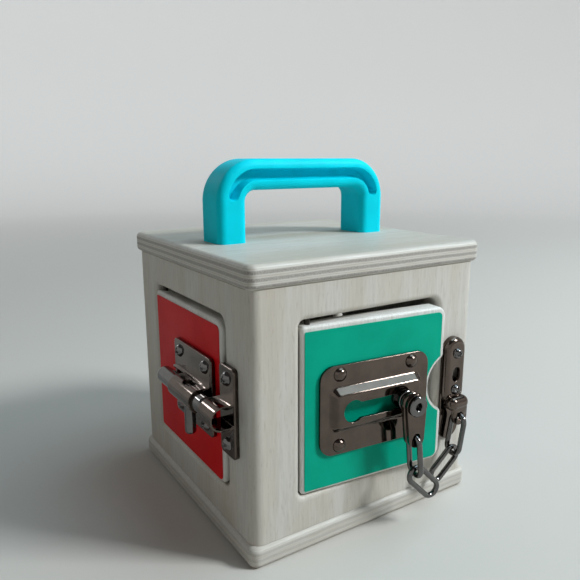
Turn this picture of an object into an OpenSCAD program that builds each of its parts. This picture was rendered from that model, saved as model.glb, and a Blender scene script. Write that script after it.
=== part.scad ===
// Wooden lock box toy: a plywood cube with a painted door on every side, a different latch on each door
// and a soft carrying handle on the lid. The front door, with the chain latch, rests slightly ajar.
// Frame: +Z up, origin on the table under the middle of the box, front (green) at -Y, left (red) at -X.

/* [Box] */
// Side of the square lid and base
lid_w = 120; // [110:1:140]
// Thickness of the lid
lid_t = 9.5; // [8:0.5:12]
// Thickness of the base
base_t = 9; // [8:0.5:12]
// Height of the four wall panels
wall_h = 102.5; // [98:0.5:120]
// Thickness of the wall panels
wall_t = 10; // [10:0.5:12]
// How far lid and base stand out past the walls
overhang = 1.5; // [0.5:0.5:4]
// Corner radius of lid and base seen from above
lid_corner_r = 4; // [3:0.5:8]
// Radius of the rounded edges of lid and base
lid_edge_r = 2.4; // [1:0.2:2.8]
// Radius of the rounded upright edges of the front and back panels
wall_edge_r = 4.5; // [2:0.5:6]

/* [Doorways] */
// Width of each doorway
open_w = 74; // [72:1:78]
// Height of each doorway
open_h = 73.5; // [70:0.5:78]
// Height of the doorway's middle above the table
open_mid_z = 60.5; // [58:0.5:63]
// Corner radius of a doorway on its hinge side
open_r_hinge = 2.6; // [2.4:0.2:4]
// Corner radius of a doorway on its free side
open_r_free = 5; // [4:0.5:8]
// Radius of the rounded front edge of a doorway
open_edge_r = 2.6; // [1:0.2:3]
// Width of the stop strip behind the free edge of a door
stop_w = 2.2; // [1.5:0.1:4]

/* [Doors] */
// Gap at the hinge edge of a closed door
door_gap = 1; // [0.8:0.1:1.4]
// Gap at the free edge of a closed door
door_free_gap = 2; // [0.8:0.1:2.2]
// Gap above a closed door
door_top_gap = 2.4; // [0.8:0.1:2.6]
// Gap under a closed door
door_low_gap = 0.5; // [0.4:0.1:1.4]
// Thickness of a door
door_t = 7.4; // [6.5:0.1:7.6]
// Radius of the rounded front edges of a door
door_edge_r = 1.3; // [0.8:0.1:1.3]
// Thickness of the painted facing sheet
facing_t = 0.3; // [0.2:0.05:0.5]
// Bare margin between the facing and the door's top and free edges
facing_margin = 2.2; // [1.4:0.1:3]
// Bare margin between the facing and the door's hinge edge and lower edge
facing_low_margin = 1.4; // [1.4:0.1:3]
// Distance of the pivot from the hinge edge of the door
pivot_in = 4; // [3.6:0.1:5]
// Distance of the pivot behind the face of the door
pivot_deep = 3.2; // [3:0.1:3.6]
// Diameter of the pivot pins
pin_d = 2.4; // [2:0.1:3.2]
// Radial clearance of a pin or shaft that turns in its hole
run_gap = 0.06; // [0.03:0.01:0.1]
// How far the front door stands open at rest, in degrees
ajar = 5.5; // [0:0.5:7]
// Depth of the finger notch in the free edge of a door
notch_deep = 8.5; // [6:0.5:10]
// Height of the finger notch
notch_h = 25; // [22:1:32]
// Height of the notch's middle above the table
notch_z = 60; // [54:0.5:64]

/* [Handle] */
// Length of the handle
handle_l = 91.2; // [80:0.2:100]
// Depth of the handle, front to back
handle_d = 19.4; // [16:0.2:24]
// Height of the handle above the lid
handle_h = 36.2; // [32:0.2:44]
// Thickness of the handle's bar and legs
handle_bar = 13.6; // [12:0.2:15]
// Outer radius of the handle's shoulders
handle_r = 18.6; // [17.6:0.2:22]
// Radius of the handle's rounded edges
handle_edge_r = 3.4; // [2:0.2:5]
// Width of the groove along the handle
groove_w = 5.3; // [4:0.1:6]
// Depth of the groove
groove_deep = 2; // [1:0.1:3]

/* [Chain latch] */
// Width of the slotted plate on the front door
slot_plate_w = 53.2; // [52:0.2:58]
// Height of the slotted plate
slot_plate_h = 38; // [36:1:42]
// Middle of the slotted plate from the middle of the door
slot_plate_x = -1.7; // [-4:0.1:-1]
// Height of the slot above the table
slot_z = 58.4; // [56:0.2:60]
// Thickness of the pressed sheet
sheet_t = 1.2; // [1:0.1:1.5]
// Height of the raised channel
channel_h = 4.6; // [4.4:0.1:5.2]
// Width of the slot
slot_w = 7; // [6.6:0.1:7.6]
// Diameter of the keyhole at the end of the slot
keyhole_d = 9.6; // [9.2:0.1:10.4]
// Travel of the stud from its end of the slot to the keyhole
slot_travel = 25.5; // [20:0.5:27]
// Length of the tag between the stud and the chain
tag_l = 14; // [13:0.2:16]
// Thickness of the tag
tag_t = 4; // [3:0.1:4.2]
// Diameter of the chain's wire
wire_d = 2.4; // [2:0.1:2.5]
// Width of a link between the middles of its two sides
link_w = 7.2; // [7:0.1:8]
// Length of a link between the middles of its two ends
link_l = 18.4; // [16.4:0.2:19]
// Free play where one link hangs in the next
link_play = 0.5; // [0.4:0.1:0.9]

/* [Bolt latch] */
// Width of the bolt's plate
bolt_plate_w = 38.6; // [37:0.2:42]
// Height of the bolt's plate
bolt_plate_h = 34.4; // [32:0.2:38]
// Thickness of the bolt's plate and of the keeper
bolt_plate_t = 2; // [1.5:0.1:2.4]
// Diameter of the bolt
bolt_d = 7.8; // [7:0.1:8.4]
// Outer diameter of the bolt's barrel
barrel_d = 10; // [9.8:0.1:11]
// Height of the bolt's axis above the table
bolt_z = 60.6; // [58:0.2:62]
// Travel of the bolt from rest into the keeper
bolt_in = 6.5; // [4:0.5:7]
// Travel of the bolt from rest away from the keeper
bolt_back = 6; // [4:0.5:6.5]
// Length of the bolt's barrel
barrel_l = 22; // [21.5:0.5:26]
// How far the bolt stands out of its barrel at rest, on the side away from the keeper
bolt_tail = 18; // [10:0.5:24]
// Width of the keeper
keeper_w = 12.6; // [11:0.2:14]

/* [Hook and turn button] */
// Distance between the hook's pivot and its post
hook_reach = 26; // [22:0.5:30]
// Thickness of the hook
hook_t = 2; // [1.5:0.1:2.4]
// Diameter of the hook's post
post_d = 4; // [3.4:0.1:4.6]
// Length of the turn button
button_l = 32; // [26:1:36]
// Width of the turn button
button_w = 10; // [8:0.5:12]
// Thickness of the turn button
button_t = 5; // [4:0.5:7]

/* [Hidden] */
$fn = 48;
eps = 0.01;
lap = 0.2;
body_w = lid_w - 2 * overhang;
wall_top = base_t + wall_h;
lid_top = wall_top + lid_t;
side_panel_w = body_w - 2 * wall_t;
side_gap = 0.3;

// Doors, in a frame whose x runs right, y up from the table and z out of the wall's face
door_w = open_w - door_gap - door_free_gap;
door_mid_x = (door_gap - door_free_gap) / 2;
door_h = open_h - door_top_gap - door_low_gap;
door_mid_z = open_mid_z - open_h / 2 + door_low_gap + door_h / 2;
door_r_hinge = door_edge_r + 0.3;
door_r_free = open_r_free - 0.6;
facing_r_hinge = 0.6;
facing_r_free = 2.2;
pivot_x = -open_w / 2 + door_gap + pivot_in;
pin_l = 12;
pin_top_y = open_mid_z + open_h / 2;
pin_low_y = open_mid_z - open_h / 2;
notch_r = (notch_h * notch_h / 4 + notch_deep * notch_deep) / (2 * notch_deep);
notch_blend = 5;
stile_x = (open_w / 2 + body_w / 2) / 2;

// Screws of the pressed hardware
screw_head_d = 6;
screw_head_h = 2;
screw_shank_d = 2.4;
screw_l = 6;
shank_short = 0.5;
pivot_head_h = 2.2;
rivet_in_x = 9;
rivet_in_y = 3.8;
housing_screw_in_x = 6.2;
housing_screw_in_y = 4.6;
keeper_screw_in = 5;
anchor_screw_in = 7.3;
anchor_head_d = 5;

// Chain latch
channel_base = [46, 21.2];
channel_top = [40.6, 13.6];
channel_up = 0.6;
keyhole_in = 2.7;
slot_plate_r = 6;
plate_edge_r = 0.6;
keyhole_x = slot_plate_x - channel_top[0] / 2 + keyhole_d / 2 + keyhole_in;
stud_x = keyhole_x + slot_travel;
stud_neck_d = slot_w - 0.8;
stud_head_d = keyhole_d - 1;
stud_head_low = facing_t + 0.4;
stud_head_h = 1.7;
stud_pin_d = 4.8;
channel_out = facing_t + channel_h;
collar_low = channel_out + 0.4;
tag_low = collar_low + 3.2;
tag_mid = tag_low + tag_t / 2;
tag_top_r = 5;
tag_end_r = 3.8;
tag_hole_r = wire_d / 2 + 0.55;
tag_hole_drop = 0.7;
tag_seam = 0.6;
link_hang = wire_d + link_play;
tag_tilt = 2;
link_1_tilt = 6;
link_2_tilt = 45;
link_3_tilt = -52;
link_4_tilt = -10;
anchor_x = 46;
anchor_w = 12.6;
anchor_r = 6.2;
anchor_edge_r = 2.6;
anchor_hole_r = 2.5;
anchor_hole_l = 2;
anchor_hole_drop = 1.4;
anchor_top = 78;
anchor_low = 46;
anchor_foot = 28;
anchor_rise = 4;
eye_y = 42;
eye_out = 7;
eye_t = 1.6;
tongue_w = 8.4;
hood_r = 3.2;
hood_up = 1.4;
hood_out = 5.2;

// Points of the chain: right and up from the one above it, at the given tilt from straight down
function hang(from, length, tilt) = from + length * [sin(tilt), -cos(tilt)];
stud_at = [stud_x, slot_z];
tag_eye = hang(stud_at, tag_l, tag_tilt);
link_1_end = hang(tag_eye, link_l, link_1_tilt);
anchor_eye = [anchor_x, eye_y];
link_4_end = hang(anchor_eye, link_l, link_4_tilt);

// Bolt latch, on the left door
bolt_plate_x = 9.5;
bolt_out = facing_t + bolt_plate_t + barrel_d / 2 - 0.4;
barrel_high_x = bolt_plate_x + bolt_plate_w / 2 - 2;
barrel_x = barrel_high_x - barrel_l / 2;
barrel_bore_r = bolt_d / 2 + run_gap;
shelf_low_x = bolt_plate_x - bolt_plate_w / 2 + 2;
shelf_short = 3;
keeper_gap = 0.7;
keeper_x = door_mid_x + door_w / 2 + keeper_gap + keeper_w / 2;
keeper_h = bolt_plate_h + 3;
keeper_bore_r = bolt_d / 2 + 0.4;
keeper_l = keeper_w - 1;
bolt_tip_x = keeper_x - keeper_l / 2 - 0.8;
bolt_low_x = barrel_high_x - barrel_l - bolt_tail;
bolt_end_r = 2.2;
bolt_plate_r = 2;
window_d = 4.4;
window_l = 8;
window_x = barrel_x + 1.5;
lever_d = 4.8;
lever_gap = 0.4;
lever_slot_w = lever_d + 2 * lever_gap;
lever_x = barrel_high_x - 0.8 - lever_slot_w / 2 - bolt_in;
lever_l = 18;
lever_end_r = 1;

// Latches of the right and back doors
hook_edge = 2.75;
hook_x = side_panel_w / 2 - hook_edge;
hook_y = 80;
hook_low = 2.4;
hook_bar_w = 5;
hook_pin_d = 4.6;
hook_eye_r = 4.6;
hook_screw_d = 8;
post_x = hook_x - hook_reach;
post_h = hook_low + hook_t + 0.6;
post_head_d = 6.4;
post_head_h = 1.8;
post_washer_t = 1.4;
button_x = stile_x;
button_y = 58;
button_low = 2.2;
button_pin_d = 4.4;
button_r = button_w / 2 - 0.2;
button_edge_r = 1.6;
button_screw_d = 7.6;
button_washer_d = 9;

handle_leg_x = handle_l / 2 - handle_bar / 2;
handle_band_r = handle_r - handle_bar / 2;
shoulder_x = handle_l / 2 - handle_r;
shoulder_z = handle_h - handle_r;
groove_start = 17;
groove_end_step = 0.3;
handle_screw_d = 4;
handle_screw_head_d = 8;
handle_screw_sink = 4;
handle_screw_up = 12;
dowel_d = 5;
dowel_l = 12;
dowel_x = body_w / 2 - 12;

wood = "#e6d3b3";
chrome = "#c9ced3";
cyan = "#10c3e8";
green = "#0a9a80";
red = "#b3202b";
blue = "#1f5fb0";
yellow = "#f0c419";

// Sides of the box: 0 front, 1 right, 2 back, 3 left. Children are drawn in the wall-face frame.
module side(number) {
    rotate([0, 0, 90 * number])
        translate([0, -body_w / 2, 0])
            rotate([90, 0, 0])
                children();
}

// Turns the children about the pivot of a door, in the wall-face frame
module swung(angle) {
    translate([pivot_x, 0, -pivot_deep])
        rotate([0, angle, 0])
            translate([-pivot_x, 0, pivot_deep])
                children();
}

// What rides on the front door, standing ajar
module on_front_door() {
    side(0) swung(-ajar) children();
}

// Flat shapes

// Rectangle with its own corner radius on the hinge side (left) and on the free side (right)
module rounded_outline(w, h, r_left, r_right) {
    translate([-w / 2 + r_left, -h / 2]) square([w - r_left - r_right, h]);
    translate([-w / 2, -h / 2 + r_left]) square([w / 2, h - 2 * r_left]);
    translate([0, -h / 2 + r_right]) square([w / 2, h - 2 * r_right]);
    for (up = [-1, 1]) {
        translate([-w / 2 + r_left, up * (h / 2 - r_left)]) circle(r_left);
        translate([w / 2 - r_right, up * (h / 2 - r_right)]) circle(r_right);
    }
}

// Bar with two round ends of their own radii, from the origin down to (0, -length)
module tapered_outline(r_top, r_end, length) {
    tilt = asin((r_top - r_end) / length);
    circle(r_top);
    translate([0, -length]) circle(r_end);
    polygon([
        r_top * [cos(tilt), -sin(tilt)], r_end * [cos(tilt), -sin(tilt)] - [0, length],
        r_end * [-cos(tilt), -sin(tilt)] - [0, length], r_top * [-cos(tilt), -sin(tilt)]
    ]);
}

// Cross-section of a plate's outer edge, rounded in front and, when both is set, behind
module outer_edge_profile(t, e, both) {
    translate([-e - lap, 0]) square([lap, t]);
    intersection() {
        translate([-e - lap / 2, 0]) square([e + lap / 2, t]);
        union() {
            translate([-e - lap, both ? e : 0]) square([e + lap, t - e - (both ? e : 0)]);
            translate([-e, t - e]) circle(e);
            if (both) translate([-e, e]) circle(e);
        }
    }
}

// Cross-section of a doorway's edge, rounded in front
module inner_edge_profile(t, e) {
    translate([e, -t]) square([lap, t]);
    intersection() {
        translate([0, -t]) square([e + lap / 2, t]);
        union() {
            translate([0, -t]) square([e + lap, t - e]);
            translate([e, -e]) circle(e);
        }
    }
}

// Solids

// Runs a cross-section (x outward, y along z) round a rounded rectangle
module around(w, h, r_left, r_right) {
    for (corner = [[1, 1, 0], [-1, 1, 90], [-1, -1, 180], [1, -1, 270]]) {
        r = corner[0] > 0 ? r_right : r_left;
        translate([corner[0] * (w / 2 - r), corner[1] * (h / 2 - r), 0])
            rotate(corner[2])
                rotate_extrude(angle = 90)
                    translate([r, 0]) children();
    }
    translate([w / 2, h / 2 - r_right, 0]) rotate([90, 0, 0]) linear_extrude(h - 2 * r_right) children();
    translate([-w / 2 + r_left, h / 2, 0]) rotate([90, 0, 90]) linear_extrude(w - r_left - r_right) children();
    translate([-w / 2, -h / 2 + r_left, 0]) rotate([90, 0, 180]) linear_extrude(h - 2 * r_left) children();
    translate([w / 2 - r_right, -h / 2, 0])
        rotate([90, 0, 270]) linear_extrude(w - r_left - r_right) children();
}

// Plate standing on z = 0 with rounded corners and rounded edges
module rounded_plate(w, h, r_left, r_right, t, e, both = false) {
    linear_extrude(t) rounded_outline(w - 2 * e, h - 2 * e, r_left - e, r_right - e);
    around(w, h, r_left, r_right) outer_edge_profile(t, e, both);
}

// Domed head with its shank, standing on z = 0
module dome_screw(head_d, head_h, shank_d, length) {
    ball_r = (head_d * head_d / 4 + head_h * head_h) / (2 * head_h);
    rotate_extrude() {
        intersection() {
            translate([0, head_h - ball_r]) circle(ball_r);
            square([head_d, head_h]);
        }
        translate([0, -length]) square([shank_d / 2, length]);
    }
}

// Round bar along z from the origin, its ends rounded by their own radius
module round_bar(r, length, end_r) {
    rotate_extrude()
        intersection() {
            square([r, length]);
            union() {
                translate([0, end_r]) square([r, length - 2 * end_r]);
                if (r > end_r) square([r - end_r, length]);
                for (y = [end_r, length - end_r])
                    translate([r - end_r, y]) circle(end_r);
            }
        }
}

// Places children at each listed point
module at_points(points) {
    for (p = points) translate([p[0], p[1], 0]) children();
}

// Holes for screw shanks below z = 0
module shank_holes(points) {
    at_points(points) translate([0, 0, -screw_l]) cylinder(d = screw_shank_d, h = screw_l + eps);
}

// Screw places, in the wall-face frame
function corners(x, y, dx, dy) = [for (sx = [-1, 1], sy = [-1, 1]) [x + sx * dx, y + sy * dy]];
slot_plate_screws = corners(slot_plate_x, slot_z, slot_plate_w / 2 - rivet_in_x, slot_plate_h / 2 - rivet_in_y);
housing_screw_points = corners(bolt_plate_x, bolt_z, bolt_plate_w / 2 - housing_screw_in_x,
                               bolt_plate_h / 2 - housing_screw_in_y);
keeper_screw_points = [for (up = [-1, 1]) [keeper_x, bolt_z + up * (keeper_h / 2 - keeper_screw_in)]];
anchor_screw_points = [[anchor_x, anchor_top - anchor_screw_in], [anchor_x, anchor_low + anchor_screw_in]];

// Box

module dowel_places() {
    for (turn = [0, 180], x = [-1, 1])
        rotate(turn) translate([x * dowel_x, -body_w / 2 + wall_t / 2, 0]) children();
}

module base_plate() {
    color(wood)
        difference() {
            rounded_plate(lid_w, lid_w, lid_corner_r, lid_corner_r, base_t, lid_edge_r, true);
            dowel_places()
                translate([0, 0, base_t - dowel_l / 2]) cylinder(d = dowel_d, h = dowel_l);
        }
}

module lid_plate() {
    color(wood)
        difference() {
            translate([0, 0, wall_top])
                rounded_plate(lid_w, lid_w, lid_corner_r, lid_corner_r, lid_t, lid_edge_r, true);
            dowel_places()
                translate([0, 0, wall_top - dowel_l / 2]) cylinder(d = dowel_d, h = dowel_l);
            for (x = [-handle_leg_x, handle_leg_x]) {
                translate([x, 0, wall_top - eps]) cylinder(d = handle_screw_d, h = lid_t + 1);
                translate([x, 0, wall_top - eps])
                    cylinder(d = handle_screw_head_d, h = handle_screw_sink + eps);
            }
        }
}

module lid_dowels() {
    color(wood)
        dowel_places()
            translate([0, 0, wall_top - dowel_l / 2]) cylinder(d = dowel_d, h = dowel_l);
}

module base_dowels() {
    color(wood)
        dowel_places()
            translate([0, 0, base_t - dowel_l / 2]) cylinder(d = dowel_d, h = dowel_l);
}

// One wall panel with its doorway, in the wall-face frame; edge_r rounds its upright outer edges
module wall_panel(w, edge_r) {
    mid_w = w - 2 * edge_r;
    difference() {
        union() {
            translate([0, 0, -wall_t])
                linear_extrude(wall_t)
                    difference() {
                        translate([-mid_w / 2, base_t]) square([mid_w, wall_h]);
                        translate([0, open_mid_z])
                            rounded_outline(open_w + 2 * open_edge_r, open_h + 2 * open_edge_r,
                                            open_r_hinge + open_edge_r, open_r_free + open_edge_r);
                    }
            translate([0, open_mid_z, 0])
                around(open_w, open_h, open_r_hinge, open_r_free) inner_edge_profile(wall_t, open_edge_r);
            if (edge_r > 0)
                for (turn = [0, 180])
                    translate([0, base_t + wall_h / 2, 0])
                        mirror([turn / 180, 0, 0])
                            translate([w / 2, wall_h / 2, -wall_t])
                                rotate([90, 0, 0])
                                    linear_extrude(wall_h) outer_edge_profile(wall_t, edge_r, false);
            translate([open_w / 2 - stop_w, open_mid_z - open_h / 2 + open_r_free, -wall_t])
                cube([stop_w + 1, open_h - 2 * open_r_free, wall_t - door_t - side_gap]);
        }
        for (y = [pin_low_y - pin_l / 2, pin_top_y - pin_l / 2])
            translate([pivot_x, y, -pivot_deep]) rotate([-90, 0, 0]) cylinder(d = pin_d, h = pin_l);
    }
}

// Panel across the full width, with the dowel holes in its top and bottom edges
module full_panel(number) {
    difference() {
        side(number) wall_panel(body_w, wall_edge_r);
        dowel_places() {
            translate([0, 0, base_t - dowel_l / 2]) cylinder(d = dowel_d, h = dowel_l);
            translate([0, 0, wall_top - dowel_l / 2]) cylinder(d = dowel_d, h = dowel_l);
        }
    }
}

module front_panel() {
    color(wood)
        difference() {
            full_panel(0);
            side(0) shank_holes(anchor_screw_points);
        }
}

module back_panel() {
    color(wood)
        difference() {
            full_panel(2);
            side(2) shank_holes([[button_x, button_y]]);
        }
}

module right_panel() {
    color(wood)
        difference() {
            side(1) wall_panel(side_panel_w, 0);
            side(1) shank_holes([[hook_x, hook_y]]);
        }
}

module left_panel() {
    color(wood)
        difference() {
            side(3) wall_panel(side_panel_w, 0);
            side(3) shank_holes(keeper_screw_points);
        }
}

// Doors

// Finger notch in the free edge, blended into the edge, grown by the inset
module notch_outline(inset) {
    edge_x = door_mid_x + door_w / 2;
    mid_x = edge_x - notch_deep + notch_r;
    blend_dx = mid_x - edge_x + notch_blend;
    blend_dy = sqrt(pow(notch_r + notch_blend, 2) - blend_dx * blend_dx);
    reach = notch_r / (notch_r + notch_blend);
    translate([0, notch_z]) {
        translate([mid_x, 0]) circle(notch_r + inset);
        difference() {
            translate([mid_x - blend_dx * reach - inset, -blend_dy])
                square([notch_deep + notch_blend, 2 * blend_dy]);
            for (up = [-1, 1])
                translate([mid_x - blend_dx, up * blend_dy]) circle(notch_blend - inset);
            translate([mid_x - blend_dx - notch_blend, -blend_dy]) square([notch_blend, 2 * blend_dy]);
        }
    }
}

// One door with its facing left off, in the wall-face frame
module door_panel(notched) {
    difference() {
        translate([door_mid_x, door_mid_z, -door_t])
            rounded_plate(door_w, door_h, door_r_hinge, door_r_free, door_t, door_edge_r);
        if (notched)
            translate([0, 0, -door_t - 1]) linear_extrude(door_t + 2) notch_outline(0);
        for (y = [pin_low_y - pin_l / 2, pin_top_y - pin_l / 2])
            translate([pivot_x, y - side_gap, -pivot_deep])
                rotate([-90, 0, 0]) cylinder(r = pin_d / 2 + run_gap, h = pin_l + 2 * side_gap);
    }
}

// Painted sheet on the face of a door, with holes for the screws that go through it
module door_facing(notched, points) {
    shift = (facing_low_margin - facing_margin) / 2;
    linear_extrude(facing_t)
        difference() {
            translate([door_mid_x + shift, door_mid_z + shift])
                rounded_outline(door_w - facing_margin - facing_low_margin,
                                door_h - facing_margin - facing_low_margin,
                                facing_r_hinge, facing_r_free);
            if (notched) notch_outline(facing_margin / 2);
            at_points(points) circle(d = screw_shank_d);
        }
}

module pivot_pins() {
    for (y = [pin_low_y - pin_l / 2, pin_top_y - pin_l / 2])
        translate([pivot_x, y, -pivot_deep]) rotate([-90, 0, 0]) cylinder(d = pin_d, h = pin_l);
}

module green_door() {
    color(wood)
        on_front_door()
            difference() {
                door_panel(true);
                shank_holes(slot_plate_screws);
            }
}

module green_facing() {
    color(green) on_front_door() door_facing(true, slot_plate_screws);
}

module green_pins() {
    color(chrome) side(0) pivot_pins();
}

module blue_door() {
    color(wood)
        side(1)
            difference() {
                door_panel(true);
                shank_holes([[post_x, hook_y]]);
            }
}

module blue_facing() {
    color(blue) side(1) door_facing(true, [[post_x, hook_y]]);
}

module blue_pins() {
    color(chrome) side(1) pivot_pins();
}

module yellow_door() {
    color(wood) side(2) door_panel(true);
}

module yellow_facing() {
    color(yellow) side(2) door_facing(true, []);
}

module yellow_pins() {
    color(chrome) side(2) pivot_pins();
}

module red_door() {
    color(wood)
        side(3)
            difference() {
                door_panel(false);
                shank_holes(housing_screw_points);
            }
}

module red_facing() {
    color(red) side(3) door_facing(false, housing_screw_points);
}

module red_pins() {
    color(chrome) side(3) pivot_pins();
}

// Handle

// Cross-section of the handle: x across the band, y along the depth
module handle_profile() {
    rounded_outline(handle_bar, handle_d, handle_edge_r, handle_edge_r);
}

// Area under an arch whose shoulders have the given radius
module arch_outline(r) {
    translate([-shoulder_x - r, 0]) square([2 * (shoulder_x + r), shoulder_z]);
    translate([-shoulder_x, 0]) square([2 * shoulder_x, shoulder_z + r]);
    for (x = [-shoulder_x, shoulder_x]) translate([x, shoulder_z]) circle(r);
}

module handle_body() {
    for (turn = [0, 180])
        rotate(turn) {
            translate([handle_leg_x, 0, 0]) linear_extrude(shoulder_z) handle_profile();
            translate([shoulder_x, 0, shoulder_z])
                rotate([90, 0, 0])
                    rotate_extrude(angle = 90)
                        translate([handle_band_r, 0]) handle_profile();
        }
    translate([-shoulder_x, 0, handle_h - handle_bar / 2])
        rotate([90, 0, 90])
            linear_extrude(2 * shoulder_x) rotate(90) handle_profile();
}

// Grooves in the front and back faces, from shoulder to shoulder, with round ends
module handle_groove() {
    end_way = [cos(groove_start), sin(groove_start)];
    end_x = shoulder_x + handle_band_r * end_way[0];
    end_z = shoulder_z + handle_band_r * end_way[1];
    far = [shoulder_x, shoulder_z] + handle_l * end_way;
    for (face = [-1, 1])
        translate([0, face * handle_d / 2, 0])
            rotate([90, 0, 0])
                linear_extrude(2 * groove_deep, center = true) {
                    difference() {
                        arch_outline(handle_band_r + groove_w / 2);
                        arch_outline(handle_band_r - groove_w / 2);
                        polygon([
                            [-far[0], far[1]], [-shoulder_x, shoulder_z], [shoulder_x, shoulder_z], far,
                            [far[0], -1], [-far[0], -1]
                        ]);
                    }
                    for (x = [-end_x, end_x]) translate([x, end_z]) circle(d = groove_w - groove_end_step);
                }
}

module handle() {
    color(cyan)
        translate([0, 0, lid_top])
            difference() {
                handle_body();
                handle_groove();
                for (x = [-handle_leg_x, handle_leg_x])
                    translate([x, 0, -eps]) cylinder(d = handle_screw_d, h = handle_screw_up + eps);
            }
}

module handle_screws() {
    color(chrome)
        for (x = [-handle_leg_x, handle_leg_x])
            translate([x, 0, wall_top + handle_screw_sink]) {
                cylinder(d = handle_screw_d, h = lid_t - handle_screw_sink + handle_screw_up - 1);
                translate([0, 0, -2.6]) cylinder(d = handle_screw_head_d - 0.6, h = 2.6);
            }
}

// Chain latch on the front door

// Raised channel as a block with sloping sides, shrunk by the inset
module channel_block(inset, height) {
    slope = [(channel_base[0] - channel_top[0]) / 2, (channel_base[1] - channel_top[1]) / 2] / channel_h;
    half = channel_base / 2 - [inset, inset] * 1.3;
    intersection() {
        rotate([90, 0, 0])
            linear_extrude(channel_base[1], center = true)
                polygon([[-half[0], 0], [half[0], 0],
                         [half[0] - slope[0] * height, height], [-half[0] + slope[0] * height, height]]);
        rotate([90, 0, 90])
            linear_extrude(channel_base[0], center = true)
                polygon([[-half[1], 0], [half[1], 0],
                         [half[1] - slope[1] * height, height], [-half[1] + slope[1] * height, height]]);
    }
}

module slot_plate() {
    color(chrome)
        on_front_door()
            translate([0, 0, facing_t])
                difference() {
                    union() {
                        translate([slot_plate_x, slot_z, 0])
                            rounded_plate(slot_plate_w, slot_plate_h, slot_plate_r, slot_plate_r,
                                          sheet_t, plate_edge_r);
                        translate([slot_plate_x, slot_z + channel_up, 0]) channel_block(0, channel_h);
                    }
                    translate([slot_plate_x, slot_z + channel_up, -eps])
                        channel_block(sheet_t, channel_h - sheet_t);
                    translate([keyhole_x, slot_z, 0]) cylinder(d = keyhole_d, h = channel_h + 1);
                    linear_extrude(channel_h + 1) {
                        translate([keyhole_x, slot_z - slot_w / 2]) square([slot_travel + 0.4, slot_w]);
                        translate([stud_x + 0.4, slot_z]) circle(d = slot_w);
                    }
                    at_points(slot_plate_screws)
                        translate([0, 0, -1]) cylinder(d = screw_shank_d, h = sheet_t + 2);
                }
}

module slot_plate_rivets() {
    color(chrome)
        on_front_door()
            at_points(slot_plate_screws)
                translate([0, 0, facing_t + sheet_t])
                    dome_screw(screw_head_d, screw_head_h, screw_shank_d,
                               screw_l + facing_t + sheet_t - shank_short);
}

module chain_stud() {
    disc_low = tag_low + tag_t + side_gap;
    disc_top = disc_low + 1.1;
    neck_top = collar_low;
    color(chrome)
        on_front_door()
            translate([stud_x, slot_z, 0])
                difference() {
                    rotate_extrude()
                        polygon([
                            [0, stud_head_low], [stud_head_d / 2, stud_head_low],
                            [stud_head_d / 2, stud_head_low + stud_head_h],
                            [stud_neck_d / 2, stud_head_low + stud_head_h],
                            [stud_neck_d / 2, neck_top], [stud_head_d / 2, neck_top],
                            [stud_head_d / 2, neck_top + 1], [stud_head_d / 2 - 1, neck_top + 1.3],
                            [stud_head_d / 2 - 1, neck_top + 1.7], [stud_head_d / 2 + 0.3, neck_top + 2],
                            [stud_head_d / 2 + 0.3, tag_low - side_gap], [stud_pin_d / 2, tag_low - side_gap],
                            [stud_pin_d / 2, disc_low], [4.4, disc_low], [4.4, disc_top - 0.4],
                            [4, disc_top], [0, disc_top]
                        ]);
                    translate([0, 0, disc_top - 0.7]) cylinder(d = 2.6, h = 1);
                }
}

// Outline of the tag, hanging straight down from the stud, shrunk by the inset
module tag_outline(inset) {
    tapered_outline(tag_top_r - inset, tag_end_r - inset, tag_l + tag_hole_drop);
}

module chain_tag() {
    color(chrome)
        on_front_door()
            translate([stud_x, slot_z, tag_low])
                rotate(tag_tilt)
                    difference() {
                        union() {
                            linear_extrude(tag_t) tag_outline(tag_seam);
                            for (low = [0, (tag_t + tag_seam) / 2])
                                translate([0, 0, low]) linear_extrude((tag_t - tag_seam) / 2) tag_outline(0);
                        }
                        translate([0, 0, -eps]) cylinder(r = stud_pin_d / 2 + run_gap, h = tag_t + 2 * eps);
                        translate([0, -tag_l, -eps])
                            linear_extrude(tag_t + 2 * eps)
                                tapered_outline(tag_hole_r, tag_hole_r, tag_hole_drop);
                    }
}

// Chain link: its upper end at the origin, hanging along -y, flat in the x-y plane
module link() {
    r = link_w / 2;
    straight = link_l - link_w;
    for (bend = [[-r, 0], [-r - straight, 180]])
        translate([0, bend[0], 0])
            rotate(bend[1]) rotate_extrude(angle = 180) translate([r, 0]) circle(d = wire_d);
    for (x = [-r, r])
        translate([x, -r, 0]) rotate([90, 0, 0]) cylinder(d = wire_d, h = straight);
}

// Link hung at a point, turned edge on, at a tilt from straight down
module edge_link(at, out, tilt) {
    translate([at[0], at[1], out]) rotate(tilt) rotate([0, 90, 0]) link();
}

// Link hung round the wire at a point, lying flat, at a tilt from straight down
module flat_link(at, out, tilt) {
    translate([at[0], at[1], out]) rotate(tilt) translate([0, link_hang, 0]) link();
}

module chain_link_1() {
    color(chrome) on_front_door() edge_link(tag_eye, tag_mid, link_1_tilt);
}

module chain_link_2() {
    color(chrome) on_front_door() flat_link(link_1_end, tag_mid, link_2_tilt);
}

module chain_link_3() {
    color(chrome) side(0) flat_link(link_4_end, eye_out, link_3_tilt);
}

module chain_link_4() {
    color(chrome) side(0) edge_link(anchor_eye, eye_out, link_4_tilt);
}

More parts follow.
